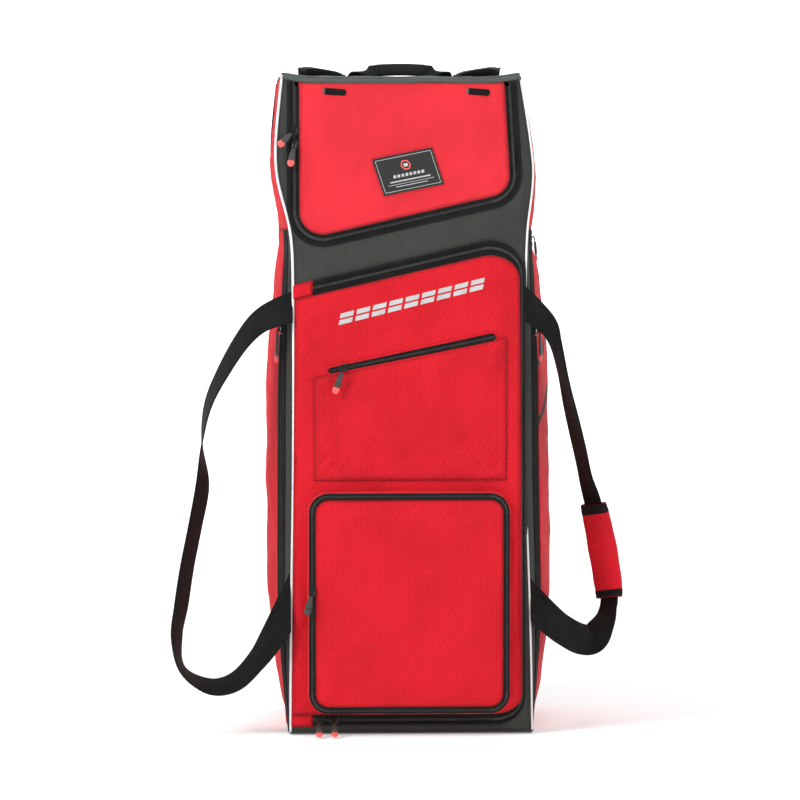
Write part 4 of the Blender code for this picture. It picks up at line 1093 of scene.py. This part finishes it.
# ---------------------------------------------------------------- sides
def side_grid(side, near, far, low, high, step=0.008):
    depths = np.linspace(near, far, max(3, round((far - near) / step) + 1))
    levels = np.linspace(low, high, max(3, round((high - low) / (step * 1.4)) + 1))
    grid = np.array([[side_point(side, y, z) for y in depths] for z in levels], float)
    out = np.array([[side_normal(side, y, z) for y in depths] for z in levels], float)
    y, z = np.meshgrid(depths, levels)
    seam = np.minimum(np.minimum(y - near, far - y), np.minimum(z - low, high - z))
    return grid, out, y, z, np.maximum(seam, 0)


def side_cloth(name, side, place, looks, slot, replaces, puff=0.0, folds=0.0, seed=0, swell=None, step=0.008):
    grid, out, y, z, seam = side_grid(side, *place, step=step)
    rise = puff * (1 - (1 - np.clip(seam / 0.04, 0, 1)) ** 2) ** 0.6
    if folds:
        rise = rise + folds * ripples(y * 1.2 + z * 0.4, z - y * 0.5, seed, 0.07) * smoothstep(0, 0.03, seam)
    grid = grid + out * rise[..., None]
    if swell:
        grid = settle(grid, seam < 0.001, **swell)
    piece = Piece(name).add(*shell(grid, SIDE_THICK, (side, 0, 0), stacked(y, z, seam)))
    obj = piece.make("root", looks, slot, replaces)


def side_zip(name, side, line, replaces, half):
    """A zip on the swollen side along (depth, height) points: two tapes with welts, teeth between them."""
    line = resample(line, 0.006)
    piece = Piece(name)
    half_section = [(0.04, 0.0004), (0.3, 0.0006), (0.42, 0.0015), (0.7, 0.0017), (0.93, 0.0010),
                    (1.0, 0.0002), (1.0, -0.0016)]
    section = [(-s, h) for s, h in reversed(half_section)] + half_section
    rings = []
    for (y, z), (ay, az) in zip(line, outward(line)):
        ring = []
        for s, h in section:
            spot = (y + ay * s * half, z + az * s * half)
            ring.append(side_point(side, *spot) + side_normal(side, *spot) * h)
        rings.append(ring)
    piece.add(*sweep(np.array(rings, float)))
    spots = resample(line, TOOTH_PITCH)
    along, up = tangents(spots).T
    rows, out = (np.array([at(side, *p) for p in spots], float) for at in (side_point, side_normal))
    for sign in (-1, 1):
        wide = stacked(0, up, -along) * sign
        piece.add(*tooth_row(rows + out * 0.0008, wide, stacked(0, along, up), out), look=1)
    piece.make("root", [zip_tape, coil], "zip_tape", replaces, crisp=50)


def make_sides():
    near, far = SIDE_NEAR - 0.0026, SIDE_FAR + 0.003
    gusset_end = SIDE_NEAR + GUSSET_DEPTH
    zip_end = gusset_end + SIDE_ZIP_DEPTH
    low, split = SIDE_LOW - 0.002, SIDE_SPLIT
    swell = {"pressure": 1.0, "grow": 0.006, "cap": 0.004}
    for side, word in ((-1, "left"), (1, "right")):
        side_cloth(word + "_gusset_cloth", side, (near, gusset_end + 0.001, low, split), grey, "grey_fabric",
                   [word + "_side_gusset"], step=0.003)
        middle = (gusset_end + zip_end) / 2
        side_zip(word + "_side_zip_tapes", side, [(middle, low), (middle, split)], [word + "_side_zip_tape"],
                 SIDE_ZIP_DEPTH / 2)
        top, look = (split - TOP_ZIP_HEIGHT, red_right) if side > 0 else (split, red_side)
        side_cloth(word + "_pocket_cloth", side, (zip_end - 0.001, far, low, top), look,
                   "red_fabric", [word + "_side_pocket_panel"], 0.0030, 0.0018, 70 + side, swell)
        if side > 0:
            level = split - TOP_ZIP_HEIGHT / 2
            side_zip("right_top_zip_tapes", side, [(zip_end, level), (far, level)],
                     ["right_side_top_zip_tape"], TOP_ZIP_HEIGHT / 2)
        side_cloth(word + "_upper_cloth", side, (near, far, split - 0.001, SIDE_HIGH + 0.001), red_side,
                   "red_fabric", [word + "_upper_side_panel"], 0.0014, 0.0012, 80 + side,
                   {"pressure": 0.6, "grow": 0.003, "cap": 0.003})
        levels = np.arange(0.004, SIDE_HIGH + 0.0045, 0.006)
        tucked = smoothstep(0.69, 0.65, levels) * smoothstep(0.25, 0.31, levels) * (side > 0)
        cord = np.array([(edge_x(z, side), FRONT - 0.0008 + 0.0050 * t, z) for z, t in zip(levels, tucked)])
        piece = Piece(word + "_piping_cord").add(*tube(cord, RIGHT_PIPING if side > 0 else LEFT_PIPING, 12))
        piece.make("root", white_cord, "white_piping", [word + "_piping"])


# ---------------------------------------------------------------- top, base, back and inside
def lid_rise(side, y):
    """The lid's corners stand up at the front and its front edge sags, by the distance from its sides."""
    front = np.exp(-((y - FRONT) / 0.06) ** 2)
    return (0.0022 * np.exp(-(side / 0.016) ** 2) - 0.0034 * smoothstep(0, 0.06, side)) * front


def make_top_and_base():
    """The grey lid and base, each folded over its edges, and a rolled binding round the lid."""
    for word, level, sign in (("top", BODY_HEIGHT - 0.0005, 1), ("base", 0.0010, -1)):
        drop = 0.0075 if sign > 0 else 0.004
        fold = [(FRONT - 0.0022, -drop), (FRONT - 0.0026, -drop * 0.6), (FRONT - 0.0022, -0.0022),
                (FRONT - 0.0008, -0.0006), (FRONT + 0.003, 0.0)]
        back = [(-y, h) for y, h in reversed(fold)]
        flat = [(y, 0.0) for y in np.linspace(FRONT + 0.012, BACK - 0.012, 28)]
        section = np.array(fold + flat + back)
        left, right = edge_x(level, -1) - 0.0015, edge_x(level, 1) + 0.0015
        t = np.linspace(0, 1, 60)
        x = left + (right - left) * (0.4 * t + 0.3 * (1 - np.cos(math.pi * t)))
        side = np.minimum(x - left, right - x)
        s, h = section[:, 0], section[:, 1]
        x, side, s, h = x[:, None], side[:, None], s[None], h[None]
        z = level + sign * (h - 0.0022 * np.clip(1 - side / 0.003, 0, 1) ** 2)
        if sign > 0:
            z = z + lid_rise(side, s)
            z += ripples(*np.broadcast_arrays(x, s), 91, 0.08) * 0.0012 * smoothstep(0, 0.03, side)
        else:
            z = np.maximum(z, 0.0004)
        # The cloth's distance from its edges, which the material turns into painted shade along them.
        away = np.minimum(side, np.minimum(s - FRONT, BACK - s) + 0.004)
        cloth = stacked(x, s, np.maximum(away, 0) + 0.004)
        piece = Piece(word + "_cloth").add(*shell(stacked(x, s, z), 0.0018, (0, 0, sign), cloth))
        look, node = (grey_rim, "top_panel") if sign > 0 else (grey, "bottom_panel")
        piece.make("root", look, "grey_fabric", [node])
    left, right = edge_x(BODY_HEIGHT, -1), edge_x(BODY_HEIGHT, 1)
    corners = [(left + 0.001, BACK - 0.002), (left + 0.001, FRONT + 0.001),
               (right - 0.001, FRONT + 0.001), (right - 0.001, BACK - 0.002)]
    x, y = resample(rounded(corners, [0.006] * 4, 8), 0.005, closed=True).T
    side = np.minimum(np.abs(x - left), np.abs(right - x))
    rim = stacked(x, y, BODY_HEIGHT - 0.0004 + lid_rise(side, y))
    Piece("top_binding").add(*tube(rim, 0.0019, 8, closed=True)).make("root", grey_rim, "grey_fabric")


def make_back():
    outline = seam_outline(0.002, 0.938, 0.0010, 0.02)
    sheet = Sheet(outline, 0.0, 0.0030, 0.03, 0.006)
    rise = -sheet.grid[..., 1]
    for x in (-0.060, 0.060):
        rise *= 0.35 + 0.65 * smoothstep(0, 0.008, np.abs(sheet.x - x))
    for z in (0.10, 0.26, 0.42, 0.58, 0.74, 0.90):
        rise *= 0.45 + 0.55 * smoothstep(0, 0.007, np.abs(sheet.z - z))
    sheet.grid[..., 1] = BACK - 0.0006 + rise
    sheet.settle(pressure=0.4, grow=0.003, cap=0.001)
    piece = Piece("back_cloth").add(*sheet.part(out=(0, 1, 0)))
    obj = piece.make("root", black_pad, "black_fabric", ["back_panel"])
    piece = Piece("back_binding")
    for side in (-1, 1):
        levels = np.arange(0.004, SIDE_HIGH + 0.003, 0.008)
        piece.add(*tube(np.array([(edge_x(z, side), BACK + 0.0002, z) for z in levels]), 0.0024, 10))
    piece.make("root", binding, "black_fabric")


def make_inside():
    """Linings, the floor between the two compartments, and the boards."""
    top = DIVIDER_HEIGHT - 0.004
    for side, word in ((-1, "left"), (1, "right")):
        high = top + ZIP_SLOPE * side * LINING_X
        y, z = np.meshgrid(np.linspace(-0.152, 0.1525, 30), np.linspace(0.008, high, 50))
        x = side * (LINING_X + LINING * 0.5) + ripples(y, z, 100 + side, 0.09) * 0.0008
        sheet = shell(stacked(x, y, z), 0.0010, (-side, 0, 0), stacked(y, z, SEAMLESS))
        Piece(word + "_lining_cloth").add(*sheet).make("root", lining, "lining", [word + "_side_lining"])
    x, y = np.meshgrid(np.linspace(-0.1625, 0.1625, 40), np.linspace(SIDE_NEAR, SIDE_FAR, 36))
    z = DIVIDER_HEIGHT + ZIP_SLOPE * x + ripples(x, y, 110, 0.09) * 0.0008
    sheet = shell(stacked(x, y, z), 0.0014, (0, 0, 1), stacked(x, y, SEAMLESS))
    Piece("divider_cloth").add(*sheet).make("root", lining, "lining", ["compartment_divider"])
    for name in ("base_board", "back_board"):
        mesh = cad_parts[name].data
        mesh.materials.clear()
        mesh.materials.append(board)


# ---------------------------------------------------------------- webbing: handles and straps
# Each row is x, y, z, the twist in degrees about the route, and the width, as in the CAD source.
LEFT_HANDLE_ROUTE = (
    (-0.1500, -0.1615, 0.6160, 0, 0.043), (-0.2043, -0.1610, 0.5960, 40, 0.045),
    (-0.2350, -0.1580, 0.5670, 58, 0.045), (-0.2656, -0.1530, 0.5178, 68, 0.045),
    (-0.2870, -0.1480, 0.4700, 77, 0.045), (-0.2955, -0.1450, 0.4150, 91, 0.045),
    (-0.2950, -0.1450, 0.3560, 115, 0.045), (-0.3060, -0.1460, 0.2950, 116, 0.045),
    (-0.3170, -0.1480, 0.2400, 116, 0.045), (-0.3255, -0.1500, 0.1850, 116, 0.045),
    (-0.3320, -0.1520, 0.1400, 110, 0.045), (-0.3240, -0.1540, 0.0940, 99, 0.045),
    (-0.2860, -0.1560, 0.0700, 113, 0.045), (-0.2500, -0.1590, 0.0760, 121, 0.045),
    (-0.2200, -0.1610, 0.1050, 125, 0.045), (-0.1940, -0.1640, 0.1440, 140, 0.045),
    (-0.1500, -0.1640, 0.2250, 165, 0.045),
)
RIGHT_HANDLE_ROUTE = (
    (0.1500, -0.1615, 0.6260, 0, 0.043), (0.1920, -0.1690, 0.5900, 25, 0.034),
    (0.2070, -0.1660, 0.5600, 62, 0.034), (0.2200, -0.1450, 0.5150, 76, 0.042),
    (0.2345, -0.1120, 0.4600, 72, 0.045), (0.2480, -0.0840, 0.4100, 70, 0.045),
    (0.2600, -0.0660, 0.3620, 66, 0.040), (0.2720, -0.0575, 0.3208, 42, 0.031),
    (0.2830, -0.0545, 0.2720, 30, 0.031), (0.2920, -0.0550, 0.2200, 30, 0.031),
    (0.2955, -0.0590, 0.1850, 42, 0.031), (0.2915, -0.0680, 0.1660, 58, 0.038),
    (0.2810, -0.0850, 0.1470, 40, 0.042), (0.2680, -0.1020, 0.1300, 15, 0.044),
    (0.2500, -0.1220, 0.1310, 15, 0.045), (0.2290, -0.1400, 0.1420, 22, 0.045),
    (0.2020, -0.1575, 0.1630, 22, 0.045), (0.1500, -0.1620, 0.2150, 15, 0.045),
)
SHOULDER_ROUTE = (
    (0.112, 0.112, 0.9450, 0, 0.060), (0.115, 0.150, 0.9475, 0, 0.072),
    (0.116, 0.1675, 0.9455, 0, 0.070), (0.115, 0.1725, 0.9280, 0, 0.064),
    (0.114, 0.1760, 0.8900, 0, 0.062), (0.108, 0.182, 0.7900, 0, 0.064),
    (0.104, 0.185, 0.6500, 0, 0.062), (0.112, 0.180, 0.5200, 0, 0.052),
    (0.120, 0.172, 0.4400, 0, 0.036), (0.122, 0.169, 0.3900, 0, 0.026),
    (0.122, 0.168, 0.2400, 0, 0.025), (0.122, 0.168, 0.0600, 0, 0.025),
)
ROUTE_STEPS = 14
HANDLE_LOW, HANDLE_HIGH = 0.170, 0.600


def sections(route, level=None):
    """At each row of a route: its centre, the direction of its width and the way its face looks."""
    centres = route[:, :3]
    along = np.vstack([centres[1:2] - centres[:1], centres[2:] - centres[:-2], centres[-1:] - centres[-2:-1]])
    along = unit(along)
    if level is None:
        flat = unit(np.cross(along, (0, -1, 0)))
    else:
        flat = unit(np.array(level) - along * (along @ np.array(level))[:, None])
    face = unit(np.cross(along, flat))
    twist = np.radians(route[:, 3])[:, None]
    across = flat * np.cos(twist) + face * np.sin(twist)
    return centres, across, unit(np.cross(across, along))


def ribbon(route, shape, level=None):
    """Webbing swept along a route. Shape is a list of (share of half the width, height)."""
    centres, across, out = sections(route, level)
    share, high = np.array(shape).T
    half = route[:, 4] / 2
    rings = centres[:, None] + across[:, None] * (half[:, None] * share[None])[..., None]
    rings += out[:, None] * high[None, :, None]
    return sweep(rings)


def flat_webbing(thick, lift=0.0):
    """Plain webbing with soft edges, as rows of (share of half the width, height)."""
    rows = [(-1.0, 0.0), (-0.985, 0.7), (-0.93, 1.0), (-0.5, 0.92), (0.0, 1.0), (0.5, 0.92), (0.93, 1.0),
            (0.985, 0.7), (1.0, 0.0), (0.985, -0.7), (0.93, -1.0), (0.0, -1.0), (-0.93, -1.0), (-0.985, -0.7)]
    return [(s, lift + thick / 2 * h) for s, h in rows]


def padded_webbing(thick):
    """A rounded pad with a narrower sewn border on each side."""
    rows = [(-1.0, 0.0), (-0.97, 0.32), (-0.86, 0.36), (-0.80, 0.62), (-0.55, 0.93), (0.0, 1.0),
            (0.55, 0.93), (0.80, 0.62), (0.86, 0.36), (0.97, 0.32), (1.0, 0.0), (0.97, -0.32),
            (0.86, -0.36), (0.80, -0.6), (0.0, -0.8), (-0.80, -0.6), (-0.86, -0.36), (-0.97, -0.32)]
    return [(s, thick / 2 * h) for s, h in rows]


def cut_at_seam(route, side):
    """The part of a handle's route outside the seams, with one row more at each end."""
    seam = np.where(route[:, 2] < 0.4, edge_x(HANDLE_LOW, side), edge_x(HANDLE_HIGH, side))
    out = np.flatnonzero(side * route[:, 0] > side * seam - 0.022)
    return route[out[0] : out[-1] + 1]


def trim_at_seam(points, side):
    """Slides the ends of a handle back along the strap to the upright line of the seam."""
    for low, middle in ((True, HANDLE_LOW), (False, HANDLE_HIGH)):
        seam = edge_x(middle, side) + side * 0.0006
        rows = slice(len(points) // 2, None) if low else slice(0, len(points) // 2)
        part = points[rows]
        past = side * (part[..., 0] - seam) < 0
        order = range(len(part)) if low else range(len(part) - 1, -1, -1)
        for last, n in zip(order, order[1:]):
            for k in np.flatnonzero(past[n]):
                step = part[n, k] - part[last, k]
                share = (seam - part[last, k, 0]) / step[0] if abs(step[0]) > 1e-7 else 0.0
                part[n, k] = part[last, k] + step * share
        points[rows] = part
    return points


def make_side_handles():
    for side, word, rows in ((-1, "left", LEFT_HANDLE_ROUTE), (1, "right", RIGHT_HANDLE_ROUTE)):
        route = smooth_route(rows, ROUTE_STEPS)
        kept = cut_at_seam(route, side)
        points, faces, cloth = ribbon(kept, flat_webbing(WEBBING_THICK))
        rings = trim_at_seam(points.reshape(len(kept), -1, 3), side)
        piece = Piece(word + "_handle_strap").add(rings.reshape(-1, 3), faces, cloth)
        piece.make(word + "_handle", belt, "black_webbing", [word + "_handle_webbing"], crisp=60)
        if side > 0:
            make_grip(route[7 * ROUTE_STEPS : 10 * ROUTE_STEPS + 1])


def make_grip(route):
    """The padded red sleeve: a soft oval tube closed by a lapped edge, with bound black ends."""
    centres, across, out = sections(route)
    lengths = run_lengths(centres)
    total = lengths[-1]
    stops = [0, 0.012, 0.03, total - 0.03, total - 0.012, total]
    wide = np.interp(lengths, stops, [0.93, 0.96, 1, 1, 0.97, 0.94])
    a = np.linspace(0, 2 * math.pi, 40, endpoint=False)
    for name, part, grow, look in (
        ("grip_cloth", slice(None), 0.0, 0), ("grip_binding", None, 0.0009, 1),
    ):
        piece = Piece(name)
        spans = [slice(0, len(route))] if part else [
            slice(0, int(np.searchsorted(lengths, 0.0115)) + 1),
            slice(int(np.searchsorted(lengths, total - 0.0115)), len(route)),
        ]
        for span in spans:
            rings = []
            for n in range(len(route))[span]:
                soft = 0.0007 * math.sin(lengths[n] / 0.0085) if part else 0.0
                lap = 0.0011 * np.exp(-((np.mod(a - 1.45, 2 * math.pi) - 0.35) / 0.38) ** 4)
                u = np.sign(np.cos(a)) * np.abs(np.cos(a)) ** 0.62 * (0.0222 * wide[n] + grow + soft * 0.4)
                v = np.sign(np.sin(a)) * np.abs(np.sin(a)) ** 0.78 * (0.0082 * wide[n] + grow + soft + lap)
                rings.append(centres[n] + across[n] * u[:, None] + out[n] * v[:, None])
            piece.add(*sweep(np.array(rings)))
        obj = piece.make("right_handle", [red, binding][look], ("red_fabric", "black_webbing")[look],
                         ["grip_wrap"], crisp=None)
    line = centres + out * 0.0086
    piece = Piece("grip_stitches")
    for shift in (-0.004, 0.0045):
        piece.add(*stitches((line + across * shift)[4:-4], out[20], 0.0026, 0.0013, 0.0003))
    piece.make("right_handle", red_thread, "red_fabric")


def make_haul_handle():
    """A short padded webbing loop that lies over the top, hinged at the back edge."""
    path = resample(rounded([(-0.066, 0.152), (-0.060, 0.112), (0.060, 0.112), (0.066, 0.152)],
                            [0, 0.016, 0.016, 0], 10), 0.003)
    far = np.clip(np.abs(path[:, 0]) / 0.060, 0, 1)
    ahead = smoothstep(0.150, 0.116, path[:, 1])
    rise = (0.0055 + 0.0035 * (1 - far**2)) * ahead
    centres = np.column_stack([path, BODY_HEIGHT + 0.0034 + rise])
    along = tangents(centres)
    flat = unit(np.cross(along, (0, 0, 1)))
    up = np.cross(flat, along)
    up = np.where(up[:, 2:3] < 0, -up, up)
    flat = np.where(flat[:, 1:2] * ahead[:, None] < 0, -flat, flat)
    lean = (np.radians(38) * ahead * smoothstep(1.0, 0.75, far))[:, None]
    flat, out = flat * np.cos(lean) + up * np.sin(lean), up * np.cos(lean) - flat * np.sin(lean)
    piece = Piece("haul_handle_strap")
    belt_shape, pad_shape = flat_webbing(0.0030), [(s, h + 0.001) for s, h in padded_webbing(0.0062)]
    for shape, span in ((belt_shape, slice(None)), (pad_shape, slice(20, -20))):
        share, high = np.array(shape).T
        rings = centres[span][:, None] + flat[span][:, None] * (0.0130 * share)[None, :, None]
        rings += out[span][:, None] * high[None, :, None]
        piece.add(*sweep(rings))
    piece.make("haul_handle", belt, "black_webbing", ["haul_handle_loop"], crisp=60)


def make_shoulder_straps():
    for side, word in ((-1, "left"), (1, "right")):
        rows = [(side * x, y, z + (0.0018 if n < 3 else 0), side * (-10, -10, -7, -2)[n] if n < 4 else 0, w)
                for n, (x, y, z, _, w) in enumerate(SHOULDER_ROUTE)]
        route = smooth_route(rows, 12)
        pad = route[: int(12 * 7.6)]
        tape = route[int(12 * 6.8):]
        piece = Piece(word + "_shoulder_pad").add(*ribbon(pad, padded_webbing(0.0105), (1, 0, 0)))
        obj = piece.make("root", black_pad, "black_fabric", [word + "_shoulder_strap"], crisp=None)
        piece = Piece(word + "_shoulder_webbing").add(*ribbon(tape, flat_webbing(0.0024, -0.001), (1, 0, 0)))
        buckle = route[int(12 * 8.3)]
        piece.make("root", belt, "black_webbing", crisp=60)
        make_ladder(word, buckle)


def make_ladder(word, row):
    """A plain plastic ladder buckle where the pad's tape meets the lower webbing."""
    x, y, z = row[:3]
    piece = Piece(word + "_shoulder_buckle")
    for level in (-0.012, 0.0, 0.012):
        line = np.array([(x + t * 0.017, y + 0.0030, z + level) for t in np.linspace(-1, 1, 9)])
        piece.add(*tube(line, 0.0019, 8))
    for end in (-0.0165, 0.0165):
        line = np.array([(x + end, y + 0.0030, z + t * 0.0125) for t in np.linspace(-1, 1, 9)])
        piece.add(*tube(line, 0.0021, 8))
    piece.make("root", black_metal, "black_webbing", crisp=60)


# ---------------------------------------------------------------- sliders and pulls
def frame_at(place, out, along):
    out = unit(out)
    run = unit(np.asarray(along, float) - out * (np.asarray(along, float) @ out))
    return np.asarray(place, float), run, np.cross(out, run), out


def slab(axes, outline, low, high, chamfer=0.0006):
    """A moulded plate with broken edges, from its outline along the first two axes."""
    place, run, across, out = axes
    flat = np.array(outline, float)
    middle = flat.mean(axis=0)
    inner = flat - unit(flat - middle) * chamfer * 1.3
    layers = [(inner, low), (flat, low + chamfer), (flat, high - chamfer), (inner, high)]
    rings = [[place + run * u + across * v + out * h for u, v in shape] for shape, h in layers]
    return sweep(np.array(rings))


def smooth_outline(points, step=0.0012, turns=2):
    """An outline with its corners rounded off."""
    line = resample(points, step, closed=True)
    for _ in range(turns):
        line = (np.roll(line, 1, axis=0) + 2 * line + np.roll(line, -1, axis=0)) / 4
    return line


def both_sides(points):
    """A symmetric outline from the half of it on one side of its middle line."""
    return [(u, -v) for u, v in points] + list(reversed(points))


def make_zip_pull(name, place, outward_, along, lie, length, lift=0.0, tip=pink_tip):
    out = unit(outward_)
    base = np.asarray(place, float) + out * GAP
    axes = frame_at(base, out, along)
    half, wide = SLIDER_LENGTH / 2, SLIDER_WIDTH / 2
    shape = [(-half, -wide * 0.6), (-half * 0.3, -wide), (half, -wide), (half, wide), (-half * 0.3, wide),
             (-half, wide * 0.6)]
    piece = Piece(name + "_slider_body")
    piece.add(*slab(axes, smooth_outline(shape, 0.0009), -0.0012, 0.0030, 0.0008))
    arch = []
    for t in np.linspace(0, 1, 15):
        h = 0.0026 + (SLIDER_HEIGHT - 0.0032) * math.sin(math.pi * t) ** 0.55
        arch.append(base + axes[1] * (half * 1.44 * t - half * 0.72) + out * h)
    piece.add(*tube(np.array(arch), 0.0010, 10))
    piece.make(name + "_slider", black_metal, "slider_metal", [name + "_slider"], crisp=40)

    eye = base + out * (SLIDER_HEIGHT + EYE_CLEAR + PULL_THICK / 2 + lift)
    lie = unit(lie)
    if not lift:
        lie = unit(lie - out * (lie @ out))
    turn = unit(np.cross(lie, out))
    axes = (eye, lie, turn, np.cross(turn, lie))
    piece = Piece(name + "_pull_tab")
    loop = smooth_outline(both_sides([(-0.0012, 0.0018), (0.0105, 0.0022)]), 0.0008)
    ring = [eye + lie * u + turn * v - axes[3] * 0.0012 * min(1.0, max(0.0, 1 - u / 0.006)) for u, v in loop]
    piece.add(*tube(np.array(ring), 0.00075, 8, closed=True), look=2)
    side, thick = PULL_WIDTH * 0.57, PULL_THICK / 2
    split = length - min(0.0095, length * 0.28)
    body = [(0.0068, side * 0.50), (0.0090, side * 0.62), (length * 0.45, side * 0.80), (split, side * 0.98)]
    end = [(split + 0.0002, side * 0.98), (length - 0.0035, side), (length, side * 0.55)]
    inset = [(0.0120, side * 0.30), (split - 0.0025, side * 0.5)]
    plates = [(body, -thick, thick, 0.0007, 0), (end, -thick, thick, 0.0007, 1)]
    plates += [(inset, h - 0.0003, h + 0.0003, 0.0002, 0) for h in (-thick, thick)]
    for half_shape, low, high, chamfer, look in plates:
        outline = smooth_outline(both_sides(half_shape), 0.0011, 1)
        piece.add(*slab(axes, outline, low, high, chamfer), look=look)
    piece.make(name + "_pull", [dark_rubber, tip, black_metal], "pull_rubber", [name + "_pull"], crisp=40)


def make_zip_pulls():
    down, right = (0, 0, -1), (1, 0, 0)
    flap_x, low_z = FLAP_LEFT - FLAP_ZIP / 2, DOOR_BOTTOM - MAIN_ZIP_LOW / 2
    mid_y = FRONT - GAP - MID_POCKET_DEPTH
    mid_z = MID_TOP_LEFT + GAP + MID_ZIP / 2 + MID_SLOPE * (MID_SLIDER_X - MID_LEFT)
    low_y = FRONT - 2 * GAP - LOW_DEPTH - PANEL - LOW_PROUD
    low_x = LOW_LEFT + LOW_BAND / 2
    front = FRONT_OUT
    make_zip_pull("flap_upper", (flap_x, FRONT, 0.862), front, down, (-1, 0, -1), 0.032)
    make_zip_pull("flap_lower", (flap_x, FRONT, 0.843), front, down, (-0.2, 0, -1), 0.033)
    for name, x in (("main_left", -0.130), ("main_right", -0.108)):
        make_zip_pull(name, (x, FRONT, low_z), front, right, FLOOR_LIE, 0.040, 0.004)
    make_zip_pull("mid_pocket", (MID_SLIDER_X, mid_y, mid_z), front, (1, 0, MID_SLOPE), (-0.34, 0, -1), 0.038)
    make_zip_pull("lower_pocket", (low_x, low_y, 0.2085), front, down, (-0.24, 0, -1), 0.034, tip=dark_rubber)
    depth = SKIN_IN + GAP + GUSSET_DEPTH + SIDE_ZIP_DEPTH / 2
    for side, name, y, z, along, length in (
        (-1, "left_side", depth, 0.579, down, 0.048), (1, "right_side", depth, 0.576, down, 0.045),
        (1, "right_top", 0.0, SIDE_SPLIT - TOP_ZIP_HEIGHT / 2, (0, 1, 0), 0.036),
    ):
        make_zip_pull(name, side_point(side, y, z), side_normal(side, y, z), along, down, length)


make_grey_front()
make_flap()
make_door()
make_sides()
make_top_and_base()
make_back()
make_inside()
make_side_handles()
make_haul_handle()
make_shoulder_straps()
make_zip_pulls()

# ---------------------------------------------------------------- floor, light and camera
scene = bpy.context.scene
FLOOR = 6.0


def make_floor():
    """A pale seamless sweep that rises softly far behind the bag, and glows more away from it."""
    rows = [(-FLOOR, 0.0), (9.0, 0.0)] + [
        (9.0 + 1.2 * math.sin(a), 1.2 - 1.2 * math.cos(a)) for a in np.linspace(0.1, math.pi / 2, 16)
    ] + [(10.2, 5.0)]
    points = [(x, y, z - 0.0003) for y, z in rows for x in (-FLOOR, FLOOR)]
    faces = [(2 * n, 2 * n + 1, 2 * n + 3, 2 * n + 2) for n in range(len(rows) - 1)]
    mesh = bpy.data.meshes.new("studio_floor")
    mesh.from_pydata(points, [], faces)
    mesh.polygons.foreach_set("use_smooth", [True] * len(faces))
    obj = bpy.data.objects.new("studio_floor", mesh)
    scene.collection.objects.link(obj)
    paper = Look("studio_paper", Base_Color=rgb(0.90, 0.90, 0.90), Roughness=0.9, Specular_IOR_Level=0.1,
                 Emission_Color=rgb(1, 1, 1))
    spot = paper.put("NewGeometry", {}, output="Position")
    far = paper.put("VectorMath", {0: spot}, output="Value", operation="LENGTH")
    values = {"Value": far, "From Min": 0.9, "From Max": 4.0, "To Min": 0.30, "To Max": 0.80}
    glow = paper.put("MapRange", values, interpolation_type="SMOOTHSTEP")
    paper.tree.links.new(glow, paper.shader.inputs["Emission Strength"])
    mesh.materials.append(paper.material)


def add_light(name, place, target, size, power):
    lamp = bpy.data.lights.new(name, "AREA")
    lamp.shape, lamp.size, lamp.size_y, lamp.energy = "RECTANGLE", size[0], size[1], power
    obj = bpy.data.objects.new(name, lamp)
    scene.collection.objects.link(obj)
    obj.location = place
    obj.rotation_euler = (Vector(target) - Vector(place)).to_track_quat("-Z", "Y").to_euler()


make_floor()
add_light("key_light", (-2.5, -1.9, 2.5), (0, 0, 0.5), (1.1, 1.1), 72)
add_light("fill_light", (2.2, -2.6, 1.4), (0, 0, 0.5), (1.8, 1.8), 20)
add_light("top_light", (0.0, -0.2, 3.4), (0, 0, 0.5), (2.2, 2.2), 34)
world = bpy.data.worlds.new("studio")
world.use_nodes = True
world.node_tree.nodes["Background"].inputs[0].default_value = (1, 1, 1, 1)
world.node_tree.nodes["Background"].inputs[1].default_value = 0.52
scene.world = world
scene.view_settings.view_transform = "Standard"

CAMERA_TURN, CAMERA_RISE, CAMERA_FAR = math.radians(-2.6), math.radians(3.2), 6.3
LOOK_AT, FRAME_WIDTH, SENSOR = Vector((-0.0135, FRONT, 0.4785)), 1.139, 36.0
lens = bpy.data.cameras.new("photo_camera")
lens.sensor_width, lens.lens = SENSOR, SENSOR * CAMERA_FAR / FRAME_WIDTH
camera = bpy.data.objects.new("photo_camera", lens)
scene.collection.objects.link(camera)
back = Vector((
    math.sin(CAMERA_TURN) * math.cos(CAMERA_RISE), -math.cos(CAMERA_TURN) * math.cos(CAMERA_RISE),
    math.sin(CAMERA_RISE),
))
camera.location = LOOK_AT + back * CAMERA_FAR
camera.rotation_euler = back.to_track_quat("Z", "Y").to_euler()
scene.camera = camera

bpy.context.view_layer.update()
